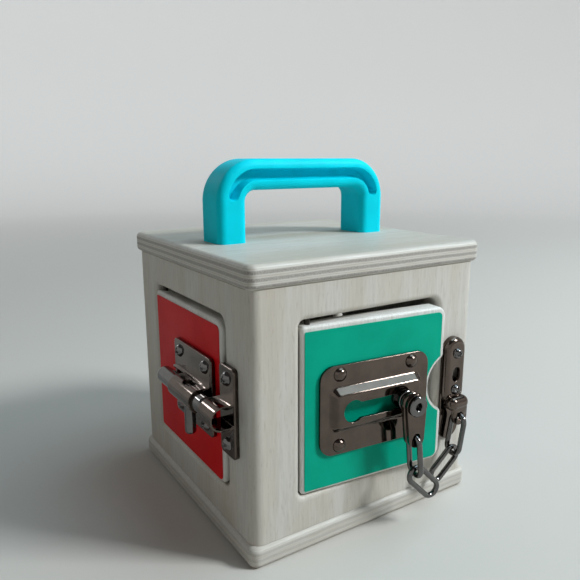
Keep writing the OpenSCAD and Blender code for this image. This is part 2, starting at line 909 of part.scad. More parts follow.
module chain_anchor() {
    dish_h = anchor_top - anchor_low;
    dish_y = (anchor_top + anchor_low) / 2;
    foot_h = anchor_low + 2 * anchor_r - anchor_foot;
    hood_w = anchor_w - 0.6;
    hood_y = anchor_low + hood_up;
    tongue_low = eye_y - tongue_w / 2 - 0.4;
    tongue_bottom = eye_out - eye_t / 2;
    color(chrome)
        side(0)
            difference() {
                union() {
                    translate([anchor_x, dish_y, 0])
                        difference() {
                            rounded_plate(anchor_w, dish_h, anchor_r, anchor_r, anchor_rise, anchor_edge_r);
                            translate([0, 0, -eps])
                                rounded_plate(anchor_w - 2 * sheet_t, dish_h - 2 * sheet_t,
                                              anchor_r - sheet_t, anchor_r - sheet_t,
                                              anchor_rise - sheet_t, anchor_edge_r - sheet_t);
                        }
                    translate([anchor_x, anchor_foot + foot_h / 2, 0])
                        rounded_plate(anchor_w, foot_h, anchor_r, anchor_r, sheet_t, plate_edge_r);
                    translate([anchor_x, 0, tongue_bottom])
                        linear_extrude(eye_t) {
                            translate([-tongue_w / 2, tongue_low + tongue_w / 2])
                                square([tongue_w, hood_y - tongue_low - tongue_w / 2]);
                            translate([0, tongue_low + tongue_w / 2]) circle(d = tongue_w);
                        }
                    translate([anchor_x - hood_w / 2, hood_y, hood_out])
                        rotate([0, 90, 0]) round_bar(hood_r, hood_w, hood_r);
                }
                at_points(anchor_screw_points)
                    translate([0, 0, -1]) cylinder(d = screw_shank_d, h = anchor_rise + 2);
                translate([anchor_x, dish_y - anchor_hole_drop + anchor_hole_l / 2, -1])
                    linear_extrude(anchor_rise + 2)
                        tapered_outline(anchor_hole_r, anchor_hole_r, anchor_hole_l);
                translate([anchor_x, eye_y, tongue_bottom - 1])
                    linear_extrude(eye_t + 2) tapered_outline(tag_hole_r, tag_hole_r, tag_hole_drop);
            }
}

module anchor_screws() {
    color(chrome)
        side(0)
            at_points(anchor_screw_points)
                translate([0, 0, anchor_rise])
                    dome_screw(anchor_head_d, screw_head_h, screw_shank_d,
                               screw_l + anchor_rise - shank_short);
}

// Bolt latch on the left door

// Strap bent round the bolt and down to its plate, running along x
module strap(length, out, bore_r) {
    rotate([90, 0, 90])
        linear_extrude(length, center = true)
            difference() {
                union() {
                    translate([0, out]) circle(d = barrel_d);
                    translate([-barrel_d / 2, 0]) square([barrel_d, out]);
                }
                translate([0, out]) circle(bore_r);
                translate([-bore_r, -1]) square([2 * bore_r, out + 1]);
            }
}

module bolt_housing() {
    out = bolt_out - facing_t;
    shelf_t = barrel_d / 2 - barrel_bore_r;
    color(chrome)
        side(3)
            translate([0, 0, facing_t])
                difference() {
                    union() {
                        translate([bolt_plate_x, bolt_z, 0])
                            rounded_plate(bolt_plate_w, bolt_plate_h, bolt_plate_r, bolt_plate_r,
                                          bolt_plate_t, plate_edge_r);
                        translate([barrel_x, bolt_z, 0]) strap(barrel_l, out, barrel_bore_r);
                        translate([shelf_low_x, bolt_z + barrel_d / 2 - shelf_t, 0])
                            cube([barrel_x - shelf_low_x, shelf_t, out - shelf_short]);
                    }
                    translate([lever_x - bolt_back - lever_slot_w / 2, bolt_z - barrel_d,
                               out - lever_slot_w / 2])
                        cube([bolt_in + bolt_back + lever_slot_w, barrel_d, lever_slot_w]);
                    translate([window_x, bolt_z, out])
                        rotate([-90, 0, 0])
                            linear_extrude(barrel_d) {
                                square([window_l - window_d, window_d], center = true);
                                for (x = [-1, 1])
                                    translate([x * (window_l - window_d) / 2, 0]) circle(d = window_d);
                            }
                    at_points(housing_screw_points)
                        translate([0, 0, -1]) cylinder(d = screw_shank_d, h = bolt_plate_t + 2);
                }
}

module bolt_housing_screws() {
    color(chrome)
        side(3)
            at_points(housing_screw_points)
                translate([0, 0, facing_t + bolt_plate_t])
                    dome_screw(screw_head_d, screw_head_h, screw_shank_d,
                               screw_l + facing_t + bolt_plate_t - shank_short);
}

module bolt_rod() {
    length = bolt_tip_x - bolt_low_x;
    color(chrome)
        side(3)
            translate([bolt_low_x, bolt_z, bolt_out])
                difference() {
                    rotate([0, 90, 0]) round_bar(bolt_d / 2, length, bolt_end_r);
                    translate([lever_x - bolt_low_x, 0, 0])
                        rotate([90, 0, 0]) cylinder(d = lever_d, h = bolt_d);
                }
}

module bolt_lever() {
    color(chrome)
        side(3)
            translate([lever_x, bolt_z, bolt_out])
                rotate([90, 0, 0])
                    rotate_extrude() {
                        square([lever_d / 2, lever_l - lever_end_r]);
                        square([lever_d / 2 - lever_end_r, lever_l]);
                        translate([lever_d / 2 - lever_end_r, lever_l - lever_end_r]) circle(lever_end_r);
                    }
}

module bolt_keeper() {
    color(chrome)
        side(3)
            difference() {
                union() {
                    translate([keeper_x, bolt_z, 0])
                        rounded_plate(keeper_w, keeper_h, bolt_plate_r, bolt_plate_r,
                                      bolt_plate_t, plate_edge_r);
                    translate([keeper_x, bolt_z, 0]) strap(keeper_l, bolt_out, keeper_bore_r);
                }
                at_points(keeper_screw_points)
                    translate([0, 0, -1]) cylinder(d = screw_shank_d, h = bolt_plate_t + 2);
            }
}

module bolt_keeper_screws() {
    color(chrome)
        side(3)
            at_points(keeper_screw_points)
                translate([0, 0, bolt_plate_t])
                    dome_screw(screw_head_d, screw_head_h, screw_shank_d, screw_l + bolt_plate_t - shank_short);
}

// Hook latch on the right door

module hook() {
    mouth = post_d / 2 + 0.6;
    color(chrome)
        side(1)
            translate([hook_x, hook_y, hook_low])
                linear_extrude(hook_t)
                    difference() {
                        union() {
                            circle(hook_eye_r);
                            translate([-hook_bar_w / 2, -hook_reach]) square([hook_bar_w, hook_reach]);
                            translate([0, -hook_reach]) circle(mouth + 2.6);
                        }
                        circle(hook_pin_d / 2 + run_gap);
                        translate([0, -hook_reach]) circle(mouth);
                        translate([0, -hook_reach - mouth]) square([mouth + 4, 2 * mouth]);
                    }
}

module hook_pivot() {
    color(chrome)
        side(1)
            translate([hook_x, hook_y, 0]) {
                cylinder(d = hook_screw_d, h = hook_low - side_gap);
                cylinder(d = hook_pin_d, h = hook_low + hook_t + side_gap);
                translate([0, 0, hook_low + hook_t + side_gap])
                    dome_screw(hook_screw_d, pivot_head_h, screw_shank_d,
                               hook_low + hook_t + screw_l - shank_short);
            }
}

module hook_post() {
    color(chrome)
        side(1)
            translate([post_x, hook_y, facing_t]) {
                cylinder(d = hook_screw_d, h = post_washer_t);
                cylinder(d = post_d, h = post_h);
                translate([0, 0, post_h])
                    dome_screw(post_head_d, post_head_h, screw_shank_d, post_h + screw_l - shank_short);
            }
}

// Turn button latch on the back door

module turn_button() {
    color(wood)
        side(2)
            translate([button_x, button_y, button_low])
                difference() {
                    rounded_plate(button_w, button_l, button_r, button_r, button_t, button_edge_r, true);
                    translate([0, 0, -1]) cylinder(r = button_pin_d / 2 + run_gap, h = button_t + 2);
                }
}

module turn_button_pivot() {
    color(chrome)
        side(2)
            translate([button_x, button_y, 0]) {
                cylinder(d = button_washer_d, h = button_low - side_gap);
                cylinder(d = button_pin_d, h = button_low + button_t + side_gap);
                translate([0, 0, button_low + button_t + side_gap])
                    dome_screw(button_screw_d, pivot_head_h, screw_shank_d,
                               button_low + button_t + screw_l - shank_short);
            }
}

base_plate();
lid_plate();
front_panel();
right_panel();
back_panel();
left_panel();
lid_dowels();
base_dowels();
handle();
handle_screws();
green_door();
green_facing();
green_pins();
blue_door();
blue_facing();
blue_pins();
yellow_door();
yellow_facing();
yellow_pins();
red_door();
red_facing();
red_pins();
slot_plate();
slot_plate_rivets();
chain_stud();
chain_tag();
chain_link_1();
chain_link_2();
chain_link_3();
chain_link_4();
chain_anchor();
anchor_screws();
bolt_housing();
bolt_housing_screws();
bolt_rod();
bolt_lever();
bolt_keeper();
bolt_keeper_screws();
hook();
hook_pivot();
hook_post();
turn_button();
turn_button_pivot();
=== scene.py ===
"""Dresses the wooden lock box toy: birch, paint, soft grip, plated latches, and a plain studio."""

import logging
import math
from dataclasses import dataclass
from enum import Enum
from typing import Any, Optional, Sequence

import bmesh
import bpy
from mathutils import Matrix, Vector


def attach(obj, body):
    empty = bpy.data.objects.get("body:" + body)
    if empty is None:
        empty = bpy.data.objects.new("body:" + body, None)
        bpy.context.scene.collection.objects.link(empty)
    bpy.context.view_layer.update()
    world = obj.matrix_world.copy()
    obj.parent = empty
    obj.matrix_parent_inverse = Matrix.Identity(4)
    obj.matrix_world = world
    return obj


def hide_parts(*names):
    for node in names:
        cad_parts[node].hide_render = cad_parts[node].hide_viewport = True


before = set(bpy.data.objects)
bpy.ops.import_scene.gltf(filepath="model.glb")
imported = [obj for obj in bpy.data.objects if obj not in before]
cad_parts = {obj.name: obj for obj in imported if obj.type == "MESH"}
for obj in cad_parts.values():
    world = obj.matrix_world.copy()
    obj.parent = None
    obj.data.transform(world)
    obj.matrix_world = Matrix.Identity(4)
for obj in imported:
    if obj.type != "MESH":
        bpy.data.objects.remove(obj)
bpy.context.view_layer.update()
LOG = logging.getLogger("lock_box")
MM = 0.001
NEAR = 0.001  # millimetres within which a point counts as lying on a plane
MERGE = 0.002 * MM  # metres within which vertices of a piece become one
PLIES = 7  # layers of the lid's and the base's plywood
EDGE_SAMPLES = 4  # rays that a softened edge is shaded with

Colour = tuple[float, float, float]
Place = tuple[float, float, float]
Profile = Sequence[tuple[float, float]]


class Axis(Enum):
    """A direction of the shared frame, by its index."""

    X = 0
    Y = 1
    Z = 2


def shaded(colour: Colour, share: float) -> Colour:
    """Returns a colour at a share of its strength."""
    return tuple(share * part for part in colour)


class Graph:
    """A material's node tree, with short calls for the nodes that the finishes share.

    Attributes:
        material: the material.
        tree: its node tree.
        shader: its surface shader.
        place: the socket of the object's coordinates.
    """

    def __init__(self, name: str) -> None:
        """Starts a material.

        Args:
            name: the material's name.
        """
        self.material = bpy.data.materials.new(name)
        self.material.use_nodes = True
        self.tree = self.material.node_tree
        self.tree.nodes.clear()
        output = self.tree.nodes.new("ShaderNodeOutputMaterial")
        self.shader = self.tree.nodes.new("ShaderNodeBsdfPrincipled")
        self.link(self.shader.outputs["BSDF"], output.inputs["Surface"])
        self.place = self.tree.nodes.new("ShaderNodeTexCoord").outputs["Object"]

    def link(self, source: Any, target: Any) -> None:
        """Joins an output socket to an input socket."""
        self.tree.links.new(source, target)

    def feed(self, socket: Any, value: Any) -> None:
        """Links a socket to an output, or sets it to a plain value.

        Args:
            socket: the input socket.
            value: an output socket, a number or a colour.
        """
        if isinstance(value, bpy.types.NodeSocket):
            self.link(value, socket)
        elif isinstance(value, tuple) and len(value) == 3 and socket.type == "RGBA":
            socket.default_value = (*value, 1.0)
        else:
            socket.default_value = value

    def surface(self, name: str, value: Any) -> None:
        """Feeds one of the shader's sockets."""
        self.feed(self.shader.inputs[name], value)

    def noise(self, scale: Sequence[float], detail: float, rough: float = 0.55) -> Any:
        """Adds fractal noise on the object's coordinates.

        Args:
            scale: scale along each axis, per metre.
            detail: the number of octaves.
            rough: how strong the fine octaves are.

        Returns:
            The noise value socket.
        """
        stretch = self.tree.nodes.new("ShaderNodeMapping")
        self.link(self.place, stretch.inputs["Vector"])
        stretch.inputs["Scale"].default_value = scale
        node = self.tree.nodes.new("ShaderNodeTexNoise")
        self.link(stretch.outputs["Vector"], node.inputs["Vector"])
        for name, number in (("Scale", 1.0), ("Detail", detail), ("Roughness", rough)):
            node.inputs[name].default_value = number
        return node.outputs["Fac"]

    def span(self, value: Any, low: float, high: float, out_low: float = 0.0,
             out_high: float = 1.0) -> Any:
        """Maps a range of values smoothly to another.

        Args:
            value: the value socket.
            low: value that gives out_low.
            high: value that gives out_high.
            out_low: result at low.
            out_high: result at high.

        Returns:
            The mapped value socket.
        """
        node = self.tree.nodes.new("ShaderNodeMapRange")
        node.interpolation_type = "SMOOTHSTEP"
        self.link(value, node.inputs["Value"])
        for name, number in zip(("From Min", "From Max", "To Min", "To Max"),
                                (low, high, out_low, out_high)):
            node.inputs[name].default_value = number
        return node.outputs["Result"]

    def math(self, operation: str, first: Any, second: Any = 0.0) -> Any:
        """Adds a math node.

        Args:
            operation: Blender's name of the operation.
            first: number or value socket.
            second: number or value socket.

        Returns:
            The result's socket.
        """
        node = self.tree.nodes.new("ShaderNodeMath")
        node.operation = operation
        self.feed(node.inputs[0], first)
        self.feed(node.inputs[1], second)
        return node.outputs["Value"]

    def mix(self, factor: Any, first: Any, second: Any) -> Any:
        """Mixes two colours.

        Args:
            factor: share of the second colour.
            first: colour or colour socket.
            second: colour or colour socket.

        Returns:
            The mixed colour socket.
        """
        node = self.tree.nodes.new("ShaderNodeMix")
        node.data_type = "RGBA"
        self.feed(node.inputs["Factor"], factor)
        # By index, because the node has sockets of the same names for other kinds of values.
        self.feed(node.inputs[6], first)
        self.feed(node.inputs[7], second)
        return node.outputs[2]

    def part(self, vector: Any, axis: Axis) -> Any:
        """Takes one part of a vector.

        Args:
            vector: the vector socket.
            axis: the part's direction.

        Returns:
            The part's value socket.
        """
        node = self.tree.nodes.new("ShaderNodeSeparateXYZ")
        self.link(vector, node.inputs["Vector"])
        return node.outputs[axis.value]

    def normal(self) -> Any:
        """Returns the surface's normal socket."""
        return self.tree.nodes.new("ShaderNodeNewGeometry").outputs["Normal"]

    def bump(self, height: Any, distance: float, strength: float, normal: Any = None) -> Any:
        """Adds a bump node.

        Args:
            height: the height socket.
            distance: height of the bumps in metres.
            strength: how strongly they show.
            normal: normal to start from.

        Returns:
            The normal socket.
        """
        node = self.tree.nodes.new("ShaderNodeBump")
        node.inputs["Distance"].default_value = distance
        node.inputs["Strength"].default_value = strength
        self.link(height, node.inputs["Height"])
        if normal is not None:
            self.link(normal, node.inputs["Normal"])
        return node.outputs["Normal"]

    def soft_edges(self, radius: float) -> Any:
        """Rounds sharp edges off in the shading.

        Args:
            radius: the radius in metres.

        Returns:
            The normal socket.
        """
        node = self.tree.nodes.new("ShaderNodeBevel")
        node.samples = EDGE_SAMPLES
        node.inputs["Radius"].default_value = radius
        return node.outputs["Normal"]


@dataclass(frozen=True)
class BirchFinish:
    """Clear-coated birch plywood.

    Attributes:
        name: the material's name.
        grain: direction in which the fibres run.
        ply: direction across the plies, whose edges then show; None for a plain edge.
        ply_low: place of the lowest ply along that direction, in metres.
        ply_step: thickness of one ply, in metres.
        ply_shade: how strongly the dark plies and the glue lines show.
        pale: lightest colour of the wood.
        deep: darkest colour of the broad figure.
        fibre: colour of the fine fibres.
        fleck: colour of the short flecks.
        cut_pale: lightest colour of the cut fibres in a dark ply.
        cut_deep: their darkest colour.
        glue: colour of the glue lines.
        coat: weight of the clear coat.
        coat_rough: its roughness.
    """

    name: str
    grain: Axis
    ply: Optional[Axis] = None
    ply_low: float = 0.0
    ply_step: float = 1.4 * MM
    ply_shade: float = 1.0
    pale: Colour = (0.575, 0.55, 0.505)
    deep: Colour = (0.51, 0.46, 0.39)
    fibre: Colour = (0.39, 0.35, 0.3)
    fleck: Colour = (0.33, 0.27, 0.21)
    cut_pale: Colour = (0.44, 0.41, 0.375)
    cut_deep: Colour = (0.27, 0.245, 0.22)
    glue: Colour = (0.2, 0.17, 0.145)
    coat: float = 0.12
    coat_rough: float = 0.35

    def stretched(self, across: float, along: float) -> list[float]:
        """Stretches a pattern along the grain.

        Args:
            across: scale across the grain, per metre.
            along: scale along the grain, per metre.

        Returns:
            The scale along each axis.
        """
        scale = [across] * 3
        scale[self.grain.value] = along
        return scale

    def material(self) -> bpy.types.Material:
        """Builds the material.

        Returns:
            The material.
        """
        g = Graph(self.name)
        figure = g.noise(self.stretched(70, 9), 2.0)
        fibre = g.noise(self.stretched(1100, 75), 3.0, 0.65)
        fleck = g.noise(self.stretched(1700, 190), 1.0)
        colour = g.mix(g.span(figure, 0.3, 0.72), self.pale, self.deep)
        colour = g.mix(g.span(fibre, 0.35, 0.75, 0.0, 0.36), colour, self.fibre)
        colour = g.mix(g.span(fleck, 0.6, 0.74, 0.0, 0.3), colour, self.fleck)
        if self.ply is not None:
            colour = self.layers(g, colour, fibre)
        g.surface("Base Color", colour)
        g.surface("Roughness", g.span(fibre, 0.2, 0.8, 0.46, 0.62))
        g.surface("Normal", g.bump(fibre, 0.05 * MM, 0.5))
        g.surface("Coat Weight", self.coat)
        g.surface("Coat Roughness", self.coat_rough)
        return g.material

    def layers(self, g: Graph, colour: Any, fibre: Any) -> Any:
        """Adds the plies' edges where the surface faces sideways.

        Args:
            g: the material's graph.
            colour: colour of the face veneer.
            fibre: the fibre pattern.

        Returns:
            The colour socket with the layers.
        """
        sway = g.math("SUBTRACT", g.noise((30, 30, 30), 1.0), 0.5)
        depth = g.math("SUBTRACT", g.part(g.place, self.ply), self.ply_low)
        depth = g.math("ADD", depth, g.math("MULTIPLY", sway, 0.5 * MM))
        count = g.math("DIVIDE", depth, self.ply_step)
        dark = g.span(g.math("PINGPONG", count, 1.0), 0.42, 0.58)
        cut = g.span(g.noise((2600, 2600, 1500), 3.0), 0.34, 0.66)
        side = g.mix(g.math("MULTIPLY", dark, self.ply_shade),
                     g.mix(g.span(fibre, 0.3, 0.8), self.pale, self.deep),
                     g.mix(cut, self.cut_pale, self.cut_deep))
        place = g.math("FRACT", count)
        near = g.math("MINIMUM", place, g.math("SUBTRACT", 1.0, place))
        side = g.mix(g.span(near, 0.0, 0.09, 0.5 * self.ply_shade, 0.0), side, self.glue)
        facing = g.math("ABSOLUTE", g.part(g.normal(), self.ply))
        return g.mix(g.span(facing, 0.55, 0.8, 1.0, 0.0), colour, side)


@dataclass(frozen=True)
class PaintFinish:
    """Satin paint on a veneer whose grain still shows faintly.

    Attributes:
        name: the material's name.
        colour: the paint's colour.
        worn: colour where the paint is rubbed.
        gloss: strength of its reflections.
    """

    name: str
    colour: Colour
    worn: Colour
    gloss: float = 0.07

    def material(self) -> bpy.types.Material:
        """Builds the material.

        Returns:
            The material.
        """
        g = Graph(self.name)
        cloud = g.noise((38, 38, 38), 3.0)
        grain = g.noise((900, 900, 30), 3.0, 0.6)
        spray = g.noise((2600, 2600, 2600), 1.0)
        colour = g.mix(g.span(cloud, 0.3, 0.7), self.colour, shaded(self.colour, 0.86))
        colour = g.mix(g.span(grain, 0.6, 0.85, 0.0, 0.22), colour, self.worn)
        height = g.math("ADD", g.math("MULTIPLY", grain, 0.7), g.math("MULTIPLY", spray, 0.3))
        g.surface("Base Color", colour)
        g.surface("Roughness", g.span(cloud, 0.25, 0.75, 0.36, 0.46))
        g.surface("Normal", g.bump(height, 0.03 * MM, 0.45))
        g.surface("Specular IOR Level", self.gloss)
        return g.material


@dataclass(frozen=True)
class GripFinish:
    """Soft moulded plastic with a fine skin and a few scuffs.

    Attributes:
        name: the material's name.
        colour: the plastic's colour.
        gloss: strength of its reflections.
        glow: share of the light that passes under the skin.
        glow_reach: how far it passes in red, green and blue, in metres.
    """

    name: str
    colour: Colour
    gloss: float = 0.07
    glow: float = 0.08
    glow_reach: Colour = (0.6 * MM, 1.2 * MM, 1.4 * MM)

    def material(self) -> bpy.types.Material:
        """Builds the material.

        Returns:
            The material.
        """
        g = Graph(self.name)
        cloud = g.noise((45, 45, 45), 2.0)
        skin = g.noise((2800, 2800, 2800), 2.0)
        scuff = g.noise((420, 90, 260), 4.0, 0.7)
        pale = tuple(0.75 * part + 0.2 for part in self.colour)
        colour = g.mix(g.span(cloud, 0.3, 0.7), self.colour, shaded(self.colour, 0.88))
        colour = g.mix(g.span(scuff, 0.62, 0.78, 0.0, 0.18), colour, pale)
        g.surface("Base Color", colour)
        g.surface("Roughness", g.span(skin, 0.3, 0.7, 0.42, 0.52))
        g.surface("Normal", g.bump(skin, 0.02 * MM, 0.5))
        g.surface("Specular IOR Level", self.gloss)
        g.surface("Subsurface Weight", self.glow)
        g.surface("Subsurface Radius", self.glow_reach)
        return g.material


@dataclass(frozen=True)
class PlatedFinish:
    """Bright plating over pressed or turned steel.

    Attributes:
        name: the material's name.
        colour: the metal's colour.
        smooth: lowest roughness.
        dull: highest roughness, where fingers have touched it.
        edge: radius of the softened edges in metres.
        brushed: direction of the fine scratches.
    """

    name: str
    # colour: the metal's colour; for the sheet, its warm brown tint is a painted reflection.
    colour: Colour
    smooth: float
    dull: float
    edge: float
    brushed: Axis = Axis.Z

    def material(self) -> bpy.types.Material:
        """Builds the material.

        Returns:
            The material.
        """
        g = Graph(self.name)
        scratches = [2400.0, 2400.0, 2400.0]
        scratches[self.brushed.value] = 60.0
        smear = g.noise((130, 130, 130), 4.0, 0.6)
        scratch = g.noise(scratches, 2.0)
        dent = g.noise((160, 160, 160), 1.0)
        colour = g.mix(g.span(smear, 0.35, 0.7), self.colour, shaded(self.colour, 0.82))
        rough = g.math("ADD", g.span(smear, 0.35, 0.75, self.smooth, self.dull),
                       g.span(scratch, 0.55, 0.8, 0.0, 0.06))
        height = g.math("ADD", g.math("MULTIPLY", scratch, 0.12), g.math("MULTIPLY", dent, 0.9))
        g.surface("Base Color", colour)
        g.surface("Roughness", rough)
        g.surface("Metallic", 1.0)
        g.surface("Normal", g.bump(height, 0.04 * MM, 0.35, g.soft_edges(self.edge)))
        return g.material


class DoorColour(Enum):
    """Colour of a door, as in its nodes' names."""

    GREEN = "green"
    BLUE = "blue"
    YELLOW = "yellow"
    RED = "red"


class Finishes:
    """Every material of the toy, built once."""

    def __init__(self) -> None:
        """Builds the materials."""
        self.lid = BirchFinish("birch_lid", Axis.X, Axis.Z, ply_low=111.5 * MM,
                               ply_step=9.5 / PLIES * MM).material()
        self.base = BirchFinish("birch_base", Axis.X, Axis.Z, ply_step=9.0 / PLIES * MM,
                                ply_shade=0.35).material()
        self.wall = BirchFinish("birch_wall", Axis.Z).material()
        self.dowel = BirchFinish("birch_dowel", Axis.Z).material()
        self.door = BirchFinish("birch_door", Axis.Z, pale=(0.74, 0.73, 0.7),
                                deep=(0.64, 0.62, 0.58)).material()
        self.button = BirchFinish("birch_button", Axis.Z, deep=(0.5, 0.41, 0.31)).material()
        paints = ((DoorColour.GREEN, (0.0, 0.385, 0.25), (0.01, 0.43, 0.29)),
                  (DoorColour.RED, (0.68, 0.004, 0.008), (0.72, 0.015, 0.02)),
                  (DoorColour.BLUE, (0.012, 0.1, 0.42), (0.04, 0.16, 0.5)),
                  (DoorColour.YELLOW, (0.78, 0.46, 0.012), (0.82, 0.54, 0.06)))
        self.paint = {door: PaintFinish(f"{door.value}_paint", colour, worn).material()
                      for door, colour, worn in paints}
        self.grip = GripFinish("cyan_grip", (0.0, 0.73, 0.88)).material()
        # The sheet's brown tint is a painted reflection of brown surroundings; its darkness is
        # partly the plating's own smoked nickel.
        self.plate = PlatedFinish("plated_sheet", (0.125, 0.097, 0.082), 0.06, 0.11, 0.5 * MM,
                                  Axis.X).material()
        self.wire = PlatedFinish("plated_wire", (0.155, 0.148, 0.144), 0.04, 0.08,
                                 0.2 * MM).material()
        self.steel = PlatedFinish("pin_steel", (0.05, 0.045, 0.04), 0.45, 0.6, 0.1 * MM).material()


def dress(node: str, material: bpy.types.Material) -> None:
    """Gives a frame node a material.

    Args:
        node: the node's name.
        material: its material.
    """
    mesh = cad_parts[node].data
    mesh.materials.clear()
    mesh.materials.append(material)
    LOG.info("%s: %s", node, material.name)


def to_object(name: str, bm: bmesh.types.BMesh, material: bpy.types.Material) -> bpy.types.Object:
    """Turns a mesh in metres into a smoothly shaded object of the scene.

    Args:
        name: the object's name.
        bm: the mesh, which is freed.
        material: its material.

    Returns:
        The object.
    """
    bmesh.ops.recalc_face_normals(bm, faces=bm.faces)
    mesh = bpy.data.meshes.new(name)
    bm.to_mesh(mesh)
    bm.free()
    mesh.polygons.foreach_set("use_smooth", [True] * len(mesh.polygons))
    mesh.materials.append(material)
    made = bpy.data.objects.new(name, mesh)
    bpy.context.scene.collection.objects.link(made)
    return made


def finish_piece(name: str, bm: bmesh.types.BMesh, material: bpy.types.Material, body: str,
                 node: str, crease: float = 35.0) -> None:
    """Turns a mesh in millimetres into a piece that takes the place of a frame node.

    Args:
        name: the piece's name.
        bm: the mesh, which is freed.
        material: its material.
        body: the body that it rides on.
        node: the frame node that it replaces.
        crease: angle in degrees above which an edge stays sharp.
    """
    bmesh.ops.scale(bm, vec=(MM, MM, MM), verts=bm.verts)
    bmesh.ops.remove_doubles(bm, verts=bm.verts, dist=MERGE)
    piece = to_object(name, bm, material)
    piece.data.set_sharp_from_angle(angle=math.radians(crease))
    piece.modifiers.new("true_flats", "WEIGHTED_NORMAL").keep_sharp = True
    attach(piece, body)
    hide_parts(node)
    LOG.info("%s: %d faces in place of %s", name, len(piece.data.polygons), node)


def smoothed(node: str, material: bpy.types.Material, body: str) -> None:
    """Replaces a frame node by a merged copy whose curves are shaded smoothly.

    Args:
        node: the node's name.
        material: its material.
        body: the body that it rides on.
    """
    bm = bmesh.new()
    bm.from_mesh(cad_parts[node].data)
    bmesh.ops.scale(bm, vec=(1 / MM, 1 / MM, 1 / MM), verts=bm.verts)
    finish_piece(f"{node}_smooth", bm, material, body, node)


def smooth_step(value: float) -> float:
    """Returns a smooth rise from 0 to 1 as a value goes from 0 to 1."""
    held = min(1.0, max(0.0, value))
    return held * held * (3.0 - 2.0 * held)


def only_verts(parts: Sequence[Any]) -> list:
    """Returns the vertices among an operator's parts."""
    return [part for part in parts if isinstance(part, bmesh.types.BMVert)]


def only_edges(parts: Sequence[Any]) -> list:
    """Returns the edges among an operator's parts."""
    return [part for part in parts if isinstance(part, bmesh.types.BMEdge)]


def run_on(bm: bmesh.types.BMesh, ring: list, way: Vector, steps: int) -> list:
    """Extrudes a ring of edges along a straight run.

    Args:
        bm: the mesh.
        ring: the ring's edges.
        way: the whole run.
        steps: number of steps.

    Returns:
        The edges of the last ring.
    """
    for _ in range(steps):
        made = bmesh.ops.extrude_edge_only(bm, edges=ring)["geom"]
        bmesh.ops.translate(bm, vec=way / steps, verts=only_verts(made))
        ring = only_edges(made)
    return ring


def bend_on(bm: bmesh.types.BMesh, parts: list, centre: Sequence[float], axis: Sequence[float],
            angle: float, steps: int) -> list:
    """Spins edges or vertices round a bend.

    Args:
        bm: the mesh.
        parts: the edges or vertices.
        centre: the bend's centre.
        axis: the bend's axis.
        angle: the bend's angle in radians.
        steps: number of steps.

    Returns:
        The edges and vertices at the end of the bend.
    """
    return bmesh.ops.spin(bm, geom=parts, cent=centre, axis=axis, angle=angle, steps=steps,
                          use_merge=False, use_duplicate=False)["geom_last"]


def full_turn(bm: bmesh.types.BMesh, parts: list, steps: int) -> None:
    """Spins edges and vertices a full turn round the z axis.

    Args:
        bm: the mesh.
        parts: the edges and vertices.
        steps: number of steps.
    """
    bmesh.ops.spin(bm, geom=parts, cent=(0, 0, 0), axis=(0, 0, 1), angle=2 * math.pi, steps=steps,
                   use_merge=True, use_duplicate=False)


def lathe(bm: bmesh.types.BMesh, profile: Profile, steps: int = 64) -> list:
    """Spins a profile round the z axis.

    Args:
        bm: the mesh that the shape joins.
        profile: radius and height of each point.
        steps: number of steps of the full turn.

    Returns:
        The new vertices.
    """
    before = set(bm.verts)
    verts = [bm.verts.new((radius, 0, height)) for radius, height in profile]
    edges = [bm.edges.new(pair) for pair in zip(verts, verts[1:])]
    full_turn(bm, verts + edges, steps)
    return [vert for vert in bm.verts if vert not in before]


def rounded_end(radius: float, length: float, end: float, steps: int = 8) -> Profile:
    """Draws the profile of a bar's rounded end, from its rim to its middle.

    Args:
        radius: the bar's radius.
        length: height of the end.
        end: radius of the rounding.
        steps: number of steps.

    Returns:
        Radius and height of each point.
    """
    turns = [math.pi / 2 * step / steps for step in range(steps + 1)]
    curve = [(radius - end + end * math.cos(turn), length - end + end * math.sin(turn))
             for turn in turns]
    return curve if end >= radius else [*curve, (0.0, length)]


def turned(name: str, profile: Profile, place: Matrix, material: bpy.types.Material, body: str,
           node: str) -> None:
    """Turns one plated piece on the lathe.

    Args:
        name: the piece's name.
        profile: radius and height of each point.
        place: the matrix that takes it to its place.
        material: its material.
        body: the body that it rides on.
        node: the frame node that it replaces.
    """
    bm = bmesh.new()
    lathe(bm, profile)
    bmesh.ops.transform(bm, matrix=place, verts=bm.verts)
    finish_piece(name, bm, material, body, node)


class Side(Enum):
    """A side of the box, by its quarter turns from the front."""

    FRONT = 0
    RIGHT = 1
    BACK = 2
    LEFT = 3


@dataclass(frozen=True)
class Face:
    """Outer face of a wall: x runs right, y up from the floor and z out, in millimetres.

    Attributes:
        side: the side of the box.
        swing: turn of what hangs on the door, in degrees.
        out: distance of the face from the middle of the box.
        pivot: place of the door's pivot, right of the middle and out of the face.
    """

    side: Side
    swing: float = 0.0
    out: float = 58.5
    pivot: tuple[float, float] = (-32.0, -3.2)

    def spot(self, x: float, y: float, z: float) -> Matrix:
        """Finds how a piece stands at a place on the face.

        Args:
            x: distance to the right of the middle.
            y: height over the floor.
            z: distance out of the face.

        Returns:
            The matrix that takes the piece there.
        """
        wall = (Matrix.Rotation(math.radians(90 * self.side.value), 4, "Z")
                @ Matrix.Translation((0, -self.out, 0))
                @ Matrix.Rotation(math.radians(90), 4, "X"))
        hinge = Matrix.Translation((self.pivot[0], 0, self.pivot[1]))
        swung = hinge @ Matrix.Rotation(math.radians(self.swing), 4, "Y") @ hinge.inverted()
        return wall @ swung @ Matrix.Translation((x, y, z))


FRONT = Face(Side.FRONT)
FRONT_DOOR = Face(Side.FRONT, -5.5)
LEFT = Face(Side.LEFT)


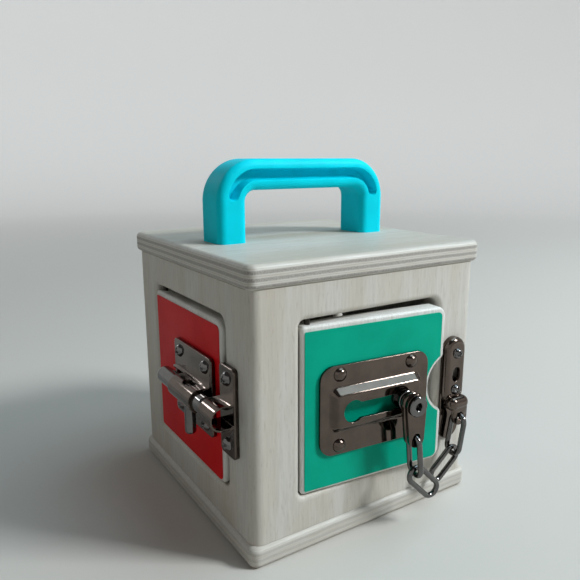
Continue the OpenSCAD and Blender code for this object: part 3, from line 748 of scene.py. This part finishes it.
@dataclass
class Carcass:
    """Base, lid, four walls and the dowels that join them.

    Attributes:
        walls: the walls' nodes.
        dowels: the dowels' nodes.
    """

    walls: tuple[str, ...] = ("front_panel", "right_panel", "back_panel", "left_panel")
    dowels: tuple[str, ...] = ("lid_dowels", "base_dowels")

    def dress(self, finishes: Finishes) -> None:
        """Gives each piece its birch.

        Args:
            finishes: the finishes.
        """
        dress("lid_plate", finishes.lid)
        dress("base_plate", finishes.base)
        for wall in self.walls:
            dress(wall, finishes.wall)
        for dowel in self.dowels:
            dress(dowel, finishes.dowel)


@dataclass
class CarryHandle:
    """Soft arched handle with a groove along each face, and the screws that hold it from below.

    Attributes:
        foot: height of the handle's foot over the floor.
        length: length of the handle.
        depth: depth from front to back.
        height: height above the lid.
        bar: thickness of its bar and legs.
        shoulder: outer radius of its shoulders.
        edge: radius of its rounded edges.
        groove: width of the groove.
        groove_deep: depth of the groove under its outer edge.
        groove_fall: how much shallower it is at its inner edge.
        groove_start: angle on the shoulder at which the groove starts, in degrees.
        lip: width of the groove's rounded edge.
        edge_steps: steps round an edge.
        face_cuts: cuts across the face, for the groove.
        run_steps: steps along a leg and along the bar.
        bend_steps: steps round a shoulder.
        crease: angle in degrees above which an edge stays sharp.
        band: radius on which the middle of the bar turns at a shoulder.
        corner_x: distance of a shoulder's centre from the handle's middle.
        corner_z: height of a shoulder's centre above the lid.
    """

    foot: float = 121.0
    length: float = 91.2
    depth: float = 19.4
    height: float = 36.2
    bar: float = 13.6
    shoulder: float = 18.6
    edge: float = 3.4
    groove: float = 5.3
    groove_deep: float = 6.6
    groove_fall: float = 1.6
    groove_start: float = 17.0
    lip: float = 1.0
    edge_steps: int = 8
    face_cuts: int = 33
    run_steps: int = 24
    bend_steps: int = 44
    crease: float = 50.0

    def __post_init__(self) -> None:
        """Works out the radius and the centres of the shoulders."""
        self.band = self.shoulder - self.bar / 2
        self.corner_x = self.length / 2 - self.shoulder
        self.corner_z = self.height - self.shoulder

    def groove_inset(self, x: float, z: float) -> float:
        """Works out how deep the groove is at a place on the handle's face.

        Args:
            x: place along the handle.
            z: height above the lid.

        Returns:
            The depth in millimetres.
        """
        out, up = abs(x) - self.corner_x, z - self.corner_z
        if up <= 0:
            along, across = up, out - self.band
        elif out > 0:
            along, across = self.band * math.atan2(up, out), math.hypot(out, up) - self.band
        else:
            along, across = self.band * math.pi / 2 - out, up - self.band
        short = max(0.0, self.band * math.radians(self.groove_start) - along)
        within = self.groove / 2 - math.hypot(across, short)
        deep = self.groove_deep - self.groove_fall * (0.5 - across / self.groove)
        return deep * smooth_step(within / self.lip)

    def on_face(self, vert: bmesh.types.BMVert) -> bool:
        """Tells whether a vertex lies on the front or back face."""
        return abs(abs(vert.co.y) - self.depth / 2) < NEAR

    def build(self, finishes: Finishes) -> None:
        """Sweeps the rounded section up one leg, over the arch and down the other leg.

        Args:
            finishes: the finishes.
        """
        bm = bmesh.new()
        bmesh.ops.create_grid(bm, x_segments=1, y_segments=1, size=0.5)
        bmesh.ops.scale(bm, vec=(self.bar, self.depth, 1.0), verts=bm.verts)
        bmesh.ops.bevel(bm, geom=bm.verts[:], affect="VERTICES", offset=self.edge,
                        segments=self.edge_steps, profile=0.5, material=-1)
        faces = [edge for edge in bm.edges if all(self.on_face(vert) for vert in edge.verts)]
        bmesh.ops.subdivide_edges(bm, edges=faces, cuts=self.face_cuts)
        bmesh.ops.translate(bm, vec=(self.corner_x + self.band, 0.0, 0.0), verts=bm.verts)
        ring = [edge for edge in bm.edges if edge.is_boundary]
        legs = Vector((0, 0, self.corner_z))
        ring = run_on(bm, ring, legs, self.run_steps)
        for corner, way in ((self.corner_x, Vector((-2 * self.corner_x, 0, 0))),
                            (-self.corner_x, -legs)):
            ring = only_edges(bend_on(bm, ring, (corner, 0, self.corner_z), (0, -1, 0),
                                      math.pi / 2, self.bend_steps))
            ring = run_on(bm, ring, way, self.run_steps)
        bmesh.ops.contextual_create(bm, geom=ring)
        for vert in bm.verts:
            if self.on_face(vert):
                inset = self.groove_inset(vert.co.x, vert.co.z)
                vert.co.y -= math.copysign(inset, vert.co.y)
        bmesh.ops.translate(bm, vec=(0, 0, self.foot), verts=bm.verts)
        finish_piece("grip", bm, finishes.grip, "box", "handle", self.crease)

    def dress(self, finishes: Finishes) -> None:
        """Builds the grip and gives its screws their finish."""
        self.build(finishes)
        dress("handle_screws", finishes.steel)


@dataclass(frozen=True)
class DomeHeads:
    """Domed rivets or cross-head screws, in place of one node's plain ones.

    Attributes:
        node: the frame node that they replace.
        body: the body that they ride on.
        face: the face that they stand on.
        places: right, up and out of that face, in millimetres.
        head: diameter of the head.
        rise: height of the head.
        cross: whether the heads have a cross recess.
        arm: half the width of the recess.
        arm_soft: width of the slope at its sides.
        reach: radius of the recess.
        reach_soft: length of the slope at its ends.
        sink: depth of the recess.
        taper: share of that depth in its middle, and how much of it is lost at its ends.
        turns: turn of the first head and from one head to the next, in degrees.
        rings: rings of faces from a head's middle to its rim.
        spokes: faces round a head.
        crease: angle in degrees above which an edge stays sharp.
    """

    node: str
    body: str
    face: Face
    places: tuple[Place, ...]
    head: float = 6.0
    rise: float = 2.0
    cross: bool = True
    arm: float = 0.42
    arm_soft: float = 0.2
    reach: float = 1.9
    reach_soft: float = 0.4
    sink: float = 0.9
    taper: tuple[float, float] = (1.15, 0.6)
    turns: tuple[float, float] = (20.0, 55.0)
    rings: int = 18
    spokes: int = 72
    crease: float = 40.0

    def sink_cross(self, verts: list) -> None:
        """Sinks the cross into one head.

        Args:
            verts: the head's vertices.
        """
        for vert in verts:
            if vert.co.z > NEAR:
                across = min(abs(vert.co.x), abs(vert.co.y))
                radius = math.hypot(vert.co.x, vert.co.y)
                share = (smooth_step((self.arm - across) / self.arm_soft + 0.5)
                         * smooth_step((self.reach - radius) / self.reach_soft))
                deep = self.taper[0] - radius / self.reach * self.taper[1]
                vert.co.z -= share * self.sink * deep

    def build(self, material: bpy.types.Material) -> None:
        """Builds all the heads as one piece.

        Args:
            material: their material.
        """
        ball = (self.head ** 2 / 4 + self.rise ** 2) / (2 * self.rise)
        radii = [self.head / 2 * step / self.rings for step in range(self.rings + 1)]
        dome = [(r, math.sqrt(ball ** 2 - r ** 2) + self.rise - ball) for r in radii]
        bm = bmesh.new()
        for number, place in enumerate(self.places):
            verts = lathe(bm, [*dome, (0.0, 0.0)], self.spokes)
            if self.cross:
                self.sink_cross(verts)
            turn = Matrix.Rotation(math.radians(self.turns[0] + self.turns[1] * number), 4, "Z")
            bmesh.ops.transform(bm, matrix=self.face.spot(*place) @ turn, verts=verts)
        finish_piece(f"{self.node}_heads", bm, material, self.body, self.node,
                     self.crease)


@dataclass
class PaintedDoor:
    """One door with its painted facing and its pivot pins.

    Attributes:
        colour: the door's colour.
    """

    colour: DoorColour

    def dress(self, finishes: Finishes) -> None:
        """Gives the door, its facing and its pins their finishes.

        Args:
            finishes: the finishes.
        """
        dress(f"{self.colour.value}_door", finishes.door)
        dress(f"{self.colour.value}_facing", finishes.paint[self.colour])
        dress(f"{self.colour.value}_pins", finishes.steel)


@dataclass
class SlottedPlate:
    """Pressed plate on the front door, with a raised channel and a keyhole slot.

    Attributes:
        middle: its middle, right and up.
        size: its width and height.
        corner: radius of its corners.
        sheet: thickness of the sheet.
        out: its back's distance from the wall's face.
        channel_up: how far the channel's middle is above the plate's.
        channel_foot: width and height of the channel where it rises.
        channel_top: width and height of the channel's top.
        channel_rise: height of the channel's top over the plate's front.
        corners: radius of the channel's corners at its foot and top.
        fold: length of the rounded folds.
        keyhole: place and diameter of the keyhole.
        slot: end and width of the slot.
        corner_steps: steps round a corner.
        fold_steps: steps round a fold.
        slot_steps: steps round the slot's end.
        keyhole_steps: steps round the keyhole.
        crease: angle in degrees above which an edge stays sharp.
    """

    middle: tuple[float, float] = (-1.7, 58.4)
    size: tuple[float, float] = (53.2, 38.0)
    corner: float = 6.0
    sheet: float = 1.2
    out: float = 0.3
    channel_up: float = 0.6
    channel_foot: tuple[float, float] = (44.6, 19.2)
    channel_top: tuple[float, float] = (40.6, 13.6)
    channel_rise: float = 3.4
    corners: tuple[float, float] = (3.4, 1.6)
    fold: float = 0.75
    keyhole: tuple[float, float] = (-14.5, 9.6)
    slot: tuple[float, float] = (11.4, 7.0)
    corner_steps: int = 6
    fold_steps: int = 5
    slot_steps: int = 16
    keyhole_steps: int = 32
    crease: float = 30.0

    def ring(self, bm: bmesh.types.BMesh, size: Sequence[float], corner: float, up: float,
             height: float) -> list:
        """Adds one rounded rectangle of edges.

        Args:
            bm: the mesh.
            size: its width and height.
            corner: radius of its corners.
            up: how far its middle is above the plate's.
            height: its height over the plate's back.

        Returns:
            Its edges.
        """
        before = set(bm.faces)
        verts = bmesh.ops.create_grid(bm, x_segments=1, y_segments=1, size=0.5)["verts"]
        bmesh.ops.scale(bm, vec=(size[0], size[1], 1), verts=verts)
        bmesh.ops.bevel(bm, geom=verts, affect="VERTICES", offset=corner,
                        segments=self.corner_steps, profile=0.5, material=-1)
        face = next(face for face in bm.faces if face not in before)
        edges = list(face.edges)
        bmesh.ops.translate(bm, vec=(self.middle[0], self.middle[1] + up, height),
                            verts=list(face.verts))
        bmesh.ops.delete(bm, geom=[face], context="FACES_ONLY")
        return edges

    def keyhole_ring(self, bm: bmesh.types.BMesh, height: float) -> list:
        """Adds the outline of the keyhole and its slot.

        Args:
            bm: the mesh.
            height: its height over the plate's back.

        Returns:
            Its edges.
        """
        before = set(bm.edges)
        middle, half, radius = self.middle[1], self.slot[1] / 2, self.keyhole[1] / 2
        lean = math.asin(half / radius)
        first = bm.verts.new((self.slot[0], middle - half, height))
        bend = bend_on(bm, [first], (self.slot[0], middle, height), (0, 0, 1), math.pi,
                       self.slot_steps)
        neck = bm.verts.new((self.keyhole[0] + radius * math.cos(lean), middle + half, height))
        bm.edges.new((only_verts(bend)[0], neck))
        bend = bend_on(bm, [neck], (self.keyhole[0], middle, height), (0, 0, 1),
                       2 * (math.pi - lean), self.keyhole_steps)
        bm.edges.new((only_verts(bend)[0], first))
        return [edge for edge in bm.edges if edge not in before]

    def fold_line(self) -> Profile:
        """Draws the channel's slope with its two rounded folds.

        Returns:
            Shares of the slope's run and rise, from its foot to its top.
        """
        run = (self.channel_foot[1] - self.channel_top[1]) / 2
        flat, steep = self.fold / run, self.fold / math.hypot(run, self.channel_rise)
        folds = (((-flat, 0), (0, 0), (steep, steep)),
                 ((1 - steep, 1 - steep), (1, 1), (1 + flat, 1)))
        shares = [number / self.fold_steps for number in range(self.fold_steps + 1)]
        return [tuple(a * (1 - t) ** 2 + 2 * b * t * (1 - t) + c * t ** 2
                      for a, b, c in zip(*fold))
                for fold in folds for t in shares]

    def build(self, material: bpy.types.Material) -> None:
        """Builds the plate.

        Args:
            material: its material.
        """
        bm = bmesh.new()
        ring = self.ring(bm, self.size, self.corner, 0, self.sheet)
        for along, high in self.fold_line():
            size = [foot + (top - foot) * along
                    for foot, top in zip(self.channel_foot, self.channel_top)]
            corner = self.corners[0] + (self.corners[1] - self.corners[0]) * along
            inner = self.ring(bm, size, corner, self.channel_up,
                              self.sheet + self.channel_rise * high)
            bmesh.ops.bridge_loops(bm, edges=ring + inner)
            ring = inner
        keyhole = self.keyhole_ring(bm, self.sheet + self.channel_rise)
        bmesh.ops.triangle_fill(bm, use_beauty=True, use_dissolve=False, edges=ring + keyhole,
                                normal=(0, 0, 1))
        bmesh.ops.recalc_face_normals(bm, faces=bm.faces)
        if sum(face.normal.z for face in bm.faces) < 0:
            bmesh.ops.reverse_faces(bm, faces=bm.faces)
        bmesh.ops.solidify(bm, geom=bm.faces[:], thickness=self.sheet)
        bmesh.ops.transform(bm, matrix=FRONT_DOOR.spot(0, 0, self.out), verts=bm.verts)
        finish_piece("pressed_plate", bm, material, "green_door_leaf", "slot_plate",
                     self.crease)


@dataclass
class ChainLatch:
    """Slotted plate, stud, tag, chain and anchor on the front.

    Attributes:
        plate: the slotted plate.
        rivets: its rivets.
        stud: place of the stud, right and up.
        stud_profile: radius and height of the stud's outline over the wall's face.
        wire: diameter of the links' wire.
        wire_sides: faces round the wire.
        bend_steps: steps round a link's bend.
        crease: angle in degrees above which an edge of a link stays sharp.
        link: width and length of a link, from middle to middle of the wire.
        hang: how far a link hangs into the one above it.
        tag: length of the tag, its tilt in degrees and its middle's height.
        tilts: tilts of the four links in degrees.
        eye: place of the anchor's eye, right, up and out.
        screws: the anchor's screws.
    """

    plate: SlottedPlate
    rivets: DomeHeads = DomeHeads(
        "slot_plate_rivets", "green_door_leaf", FRONT_DOOR,
        tuple((x, y, 1.5) for x in (-19.3, 15.9) for y in (43.2, 73.6)), cross=False)
    stud: tuple[float, float] = (11.0, 58.4)
    stud_profile: Profile = (
        (0, 0.7), (4.3, 0.7), (4.3, 2.4), (3.1, 2.4), (3.1, 5.3), (4.1, 5.3), (4.3, 5.5),
        (4.3, 6.1), (4.1, 6.3), (3.3, 6.6), (3.3, 7.0), (4.4, 7.3), (4.6, 7.5), (4.6, 8.0),
        (4.4, 8.2), (2.4, 8.2), (2.4, 12.8), (4.2, 12.8), (4.4, 13.0), (4.4, 13.5), (4.0, 13.9),
        (1.9, 13.9), (1.6, 13.6), (1.6, 11.0), (0, 11.0))
    wire: float = 2.4
    wire_sides: int = 20
    bend_steps: int = 28
    crease: float = 60.0
    link: tuple[float, float] = (7.2, 18.4)
    hang: float = 2.9
    tag: tuple[float, float, float] = (14.0, 2.0, 10.5)
    tilts: tuple[float, float, float, float] = (6.0, 45.0, -52.0, -10.0)
    eye: Place = (46.0, 42.0, 7.0)
    screws: DomeHeads = DomeHeads("anchor_screws", "box", FRONT, ((46, 70.7, 4), (46, 53.3, 4)),
                                  head=5.0, reach=1.6)

    def below(self, start: Sequence[float], length: float, tilt: float) -> tuple[float, float]:
        """Returns the point that hangs below another at a length and a tilt."""
        turn = math.radians(tilt)
        return start[0] + length * math.sin(turn), start[1] - length * math.cos(turn)

    def build_link(self, number: int, face: Face, at: Sequence[float], out: float, flat: bool,
                   finishes: Finishes) -> None:
        """Sweeps one link's wire round its two bends.

        Args:
            number: the link's number along the chain.
            face: the face that it hangs before.
            at: the point that it hangs from.
            out: that point's distance from the face.
            flat: whether it lies flat before the wall, round the wire of the link above.
            finishes: the finishes.
        """
        bend, straight = self.link[0] / 2, self.link[1] - self.link[0]
        bm = bmesh.new()
        bmesh.ops.create_circle(bm, segments=self.wire_sides, radius=self.wire / 2)
        bmesh.ops.rotate(bm, cent=(0, 0, 0), matrix=Matrix.Rotation(math.pi / 2, 3, "X"),
                         verts=bm.verts)
        bmesh.ops.translate(bm, vec=(bend, -bend, 0), verts=bm.verts)
        ring = bm.edges[:]
        for low, run in ((0, -straight), (straight, straight)):
            ring = only_edges(bend_on(bm, ring, (0, -bend - low, 0), (0, 0, 1), math.pi,
                                      self.bend_steps))
            ring = run_on(bm, ring, Vector((0, run, 0)), 1)
        turn = Matrix.Rotation(math.radians(self.tilts[number - 1]), 4, "Z")
        lie = (Matrix.Translation((0, self.hang, 0)) if flat
               else Matrix.Rotation(math.pi / 2, 4, "Y"))
        bmesh.ops.transform(bm, matrix=face.spot(at[0], at[1], out) @ turn @ lie, verts=bm.verts)
        finish_piece(f"wire_link_{number}", bm, finishes.wire, f"link_{number}",
                     f"chain_link_{number}", self.crease)

    def build(self, finishes: Finishes) -> None:
        """Builds the plate, the rivets, the stud, the links and the screws.

        Args:
            finishes: the finishes.
        """
        self.plate.build(finishes.plate)
        self.rivets.build(finishes.plate)
        turned("turned_stud", self.stud_profile, FRONT_DOOR.spot(*self.stud, 0), finishes.wire,
               "stud", "chain_stud")
        tag_length, tag_tilt, tag_out = self.tag
        tag_eye = self.below(self.stud, tag_length, tag_tilt)
        tag_low = self.below(tag_eye, self.link[1], self.tilts[0])
        eye_low = self.below(self.eye, self.link[1], self.tilts[3])
        self.build_link(1, FRONT_DOOR, tag_eye, tag_out, False, finishes)
        self.build_link(2, FRONT_DOOR, tag_low, tag_out, True, finishes)
        self.build_link(3, FRONT, eye_low, self.eye[2], True, finishes)
        self.build_link(4, FRONT, self.eye, self.eye[2], False, finishes)
        self.screws.build(finishes.wire)

    def dress(self, finishes: Finishes) -> None:
        """Builds the latch and gives it its plating.

        Args:
            finishes: the finishes.
        """
        self.build(finishes)
        smoothed("chain_tag", finishes.plate, "tag")
        smoothed("chain_anchor", finishes.plate, "box")


@dataclass
class BoltLatch:
    """Barrel bolt and keeper on the left.

    Attributes:
        axis: height of the bolt's axis over the floor, and its distance from the wall's face.
        rod: left and right end of the rod.
        rod_radius: its radius.
        rod_end: radius of its rounded ends.
        lever: place of the lever along the rod.
        lever_size: its radius, length and end radius.
        housing_screws: the housing's screws.
        keeper_screws: the keeper's screws.
    """

    axis: tuple[float, float] = (60.6, 6.9)
    rod: tuple[float, float] = (-13.2, 35.4)
    rod_radius: float = 3.9
    rod_end: float = 3.0
    lever: float = 16.7
    lever_size: tuple[float, float, float] = (2.4, 18.0, 1.4)
    housing_screws: DomeHeads = DomeHeads(
        "bolt_housing_screws", "red_door_leaf", LEFT,
        tuple((x, y, 2.3) for x in (-3.6, 22.6) for y in (48.0, 73.2)))
    keeper_screws: DomeHeads = DomeHeads("bolt_keeper_screws", "box", LEFT,
                                         ((42.0, 46.9, 2.0), (42.0, 74.3, 2.0)))

    def build(self, finishes: Finishes) -> None:
        """Builds the rod, the lever and the screws.

        Args:
            finishes: the finishes.
        """
        length = self.rod[1] - self.rod[0]
        end = rounded_end(self.rod_radius, length, self.rod_end)
        start = [(radius, length - height) for radius, height in reversed(end)]
        place = LEFT.spot(self.rod[0], *self.axis) @ Matrix.Rotation(math.pi / 2, 4, "Y")
        turned("turned_rod", [*start, *end], place, finishes.wire, "bolt", "bolt_rod")
        radius, reach, lever_end = self.lever_size
        profile = [(0.0, 0.0), (radius, 0.0), *rounded_end(radius, reach, lever_end)]
        place = LEFT.spot(self.lever, *self.axis) @ Matrix.Rotation(math.pi / 2, 4, "X")
        turned("turned_lever", profile, place, finishes.wire, "bolt", "bolt_lever")
        self.housing_screws.build(finishes.wire)
        self.keeper_screws.build(finishes.wire)

    def dress(self, finishes: Finishes) -> None:
        """Builds the latch and gives it its plating.

        Args:
            finishes: the finishes.
        """
        self.build(finishes)
        smoothed("bolt_housing", finishes.plate, "red_door_leaf")
        smoothed("bolt_keeper", finishes.plate, "box")


@dataclass
class SmallLatches:
    """Hook on the right and turn button on the back.

    Attributes:
        plated: each plated node and the body that it rides on.
    """

    plated: tuple[tuple[str, str], ...] = (
        ("hook", "swing_hook"), ("hook_pivot", "box"), ("hook_post", "blue_door_leaf"),
        ("turn_button_pivot", "box"))

    def dress(self, finishes: Finishes) -> None:
        """Gives the hook its plating and the button its wood.

        Args:
            finishes: the finishes.
        """
        for node, body in self.plated:
            smoothed(node, finishes.plate, body)
        smoothed("turn_button", finishes.button, "button")


@dataclass(frozen=True)
class Lamp:
    """A soft square lamp.

    Attributes:
        name: the lamp's name.
        place: its place in metres.
        aim: the point that it faces.
        size: its side in metres.
        watts: its power.
        colour: its colour.
    """

    name: str
    place: Place
    aim: Place
    size: float
    watts: float
    colour: Colour

    def build(self) -> None:
        """Adds the lamp to the scene."""
        data = bpy.data.lights.new(self.name, "AREA")
        data.shape = "SQUARE"
        data.size = self.size
        data.energy = self.watts
        data.color = self.colour
        lamp = bpy.data.objects.new(self.name, data)
        lamp.location = self.place
        way = Vector(self.aim) - Vector(self.place)
        lamp.rotation_euler = way.to_track_quat("-Z", "Y").to_euler()
        bpy.context.scene.collection.objects.link(lamp)


@dataclass
class Studio:
    """Floor, soft lights and the camera.

    Attributes:
        place: the camera's place in metres.
        azimuth: turn of the view from the front, in degrees.
        elevation: height of the view over level, in degrees.
        roll: turn of the picture, in degrees.
        focal: focal length in pixels of a picture.
        picture: the picture's width in pixels.
        sensor: width of the camera's sensor in its own millimetres.
        clip: nearest and farthest distance that the camera sees, in metres.
        lamps: the lamps.
        sky: colour of the surroundings.
        sky_strength: strength of their light.
        floor_colour: the colour of the floor.
        floor_rough: its roughness.
        floor_reach: radius of its flat part in metres.
        floor_bend: radius of the bend behind it.
        floor_rise: height of the wall above the bend.
        floor_steps: steps round that bend and round the whole floor.
        far_colour: colour that the far floor shows in the picture.
        far_span: distances at which that starts and is full, in metres.
        far_strength: its full strength.
    """

    place: Place = (-0.15545, -0.23573, 0.15689)
    azimuth: float = -32.703
    elevation: float = 12.528
    roll: float = -0.131
    focal: float = 589.26
    picture: float = 580.0
    sensor: float = 36.0
    clip: tuple[float, float] = (0.01, 20.0)
    lamps: tuple[Lamp, ...] = (
        Lamp("key", (0.85, -0.85, 0.95), (0, 0, 0.07), 0.32, 21.0, (0.9, 0.965, 1.0)),
        Lamp("top", (0.6, -0.2, 1.35), (0, 0, 0.1), 1.0, 10.0, (0.64, 0.88, 1.0)),
        Lamp("glint", (-0.45, 1.07, 0.7), (-0.06, 0, 0.06), 0.12, 0.9, (0.9, 0.95, 1.0)))
    sky: Colour = (0.94, 0.94, 0.95)
    sky_strength: float = 0.12
    floor_colour: Colour = (0.6, 0.565, 0.52)
    floor_rough: float = 0.7
    floor_reach: float = 1.6
    floor_bend: float = 0.9
    floor_rise: float = 1.2
    floor_steps: tuple[int, int] = (16, 96)
    far_colour: Colour = (0.95, 0.98, 1.0)
    far_span: tuple[float, float] = (0.3, 2.4)
    far_strength: float = 0.46

    def camera(self) -> None:
        """Makes the camera at the photograph's view."""
        data = bpy.data.cameras.new("camera")
        data.sensor_fit = "HORIZONTAL"
        data.sensor_width = self.sensor
        data.lens = self.focal / self.picture * self.sensor
        data.clip_start, data.clip_end = self.clip
        turn, lift = math.radians(self.azimuth), math.radians(self.elevation)
        back = Vector((math.sin(turn) * math.cos(lift), -math.cos(turn) * math.cos(lift),
                       math.sin(lift)))
        right = (-back).cross(Vector((0, 0, 1))).normalized()
        up = right.cross(-back)
        roll = math.radians(self.roll)
        across = right * math.cos(roll) + up * math.sin(roll)
        above = up * math.cos(roll) - right * math.sin(roll)
        camera = bpy.data.objects.new("camera", data)
        camera.matrix_world = Matrix((across, above, back)).transposed().to_4x4()
        camera.location = self.place
        bpy.context.scene.collection.objects.link(camera)
        bpy.context.scene.camera = camera

    def floor_material(self) -> bpy.types.Material:
        """Builds the floor's material, whose far part shows paler in the picture.

        Returns:
            The material.
        """
        g = Graph("floor")
        soft = g.noise((3, 3, 3), 2.0)
        g.surface("Base Color", g.mix(soft, self.floor_colour, shaded(self.floor_colour, 0.97)))
        g.surface("Roughness", self.floor_rough)
        path = g.tree.nodes.new("ShaderNodeLightPath")
        seen = path.outputs["Is Camera Ray"]
        for ray in ("Is Glossy Ray", "Is Transmission Ray"):
            seen = g.math("MAXIMUM", seen, path.outputs[ray])
        far = g.tree.nodes.new("ShaderNodeVectorMath")
        far.operation = "LENGTH"
        g.link(g.place, far.inputs["Vector"])
        glow = g.span(far.outputs["Value"], *self.far_span, 0.0, self.far_strength)
        g.surface("Emission Color", self.far_colour)
        g.surface("Emission Strength", g.math("MULTIPLY", seen, glow))
        return g.material

    def floor(self) -> None:
        """Lays the plain pale floor, which curves up far behind."""
        bm = bmesh.new()
        verts = [bm.verts.new((x, 0, 0)) for x in (0, self.floor_reach)]
        bm.edges.new(verts)
        curve = bend_on(bm, verts[1:], (self.floor_reach, 0, self.floor_bend), (0, -1, 0),
                        math.pi / 2, self.floor_steps[0])
        top = bmesh.ops.extrude_vert_indiv(bm, verts=only_verts(curve))["verts"]
        bmesh.ops.translate(bm, vec=(0, 0, self.floor_rise), verts=top)
        full_turn(bm, bm.verts[:] + bm.edges[:], self.floor_steps[1])
        bmesh.ops.remove_doubles(bm, verts=bm.verts, dist=MM)
        floor = to_object("floor", bm, self.floor_material())

    def light(self) -> None:
        """Sets the lamps and the pale surroundings."""
        for lamp in self.lamps:
            lamp.build()
        world = bpy.data.worlds.new("surroundings")
        world.use_nodes = True
        sky = world.node_tree.nodes["Background"]
        sky.inputs["Color"].default_value = (*self.sky, 1.0)
        sky.inputs["Strength"].default_value = self.sky_strength
        bpy.context.scene.world = world
        bpy.context.scene.view_settings.view_transform = "Standard"

    def build(self) -> None:
        """Sets up the studio."""
        self.floor()
        self.light()
        self.camera()


def main() -> None:
    """Builds the toy's dress and the studio round it."""
    logging.basicConfig(level=logging.INFO, format="%(name)s %(message)s")
    finishes = Finishes()
    doors = [PaintedDoor(colour) for colour in DoorColour]
    for assembly in (Carcass(), CarryHandle(), *doors, ChainLatch(SlottedPlate()), BoltLatch(),
                     SmallLatches()):
        assembly.dress(finishes)
    Studio().build()


if __name__ == "__main__":
    main()
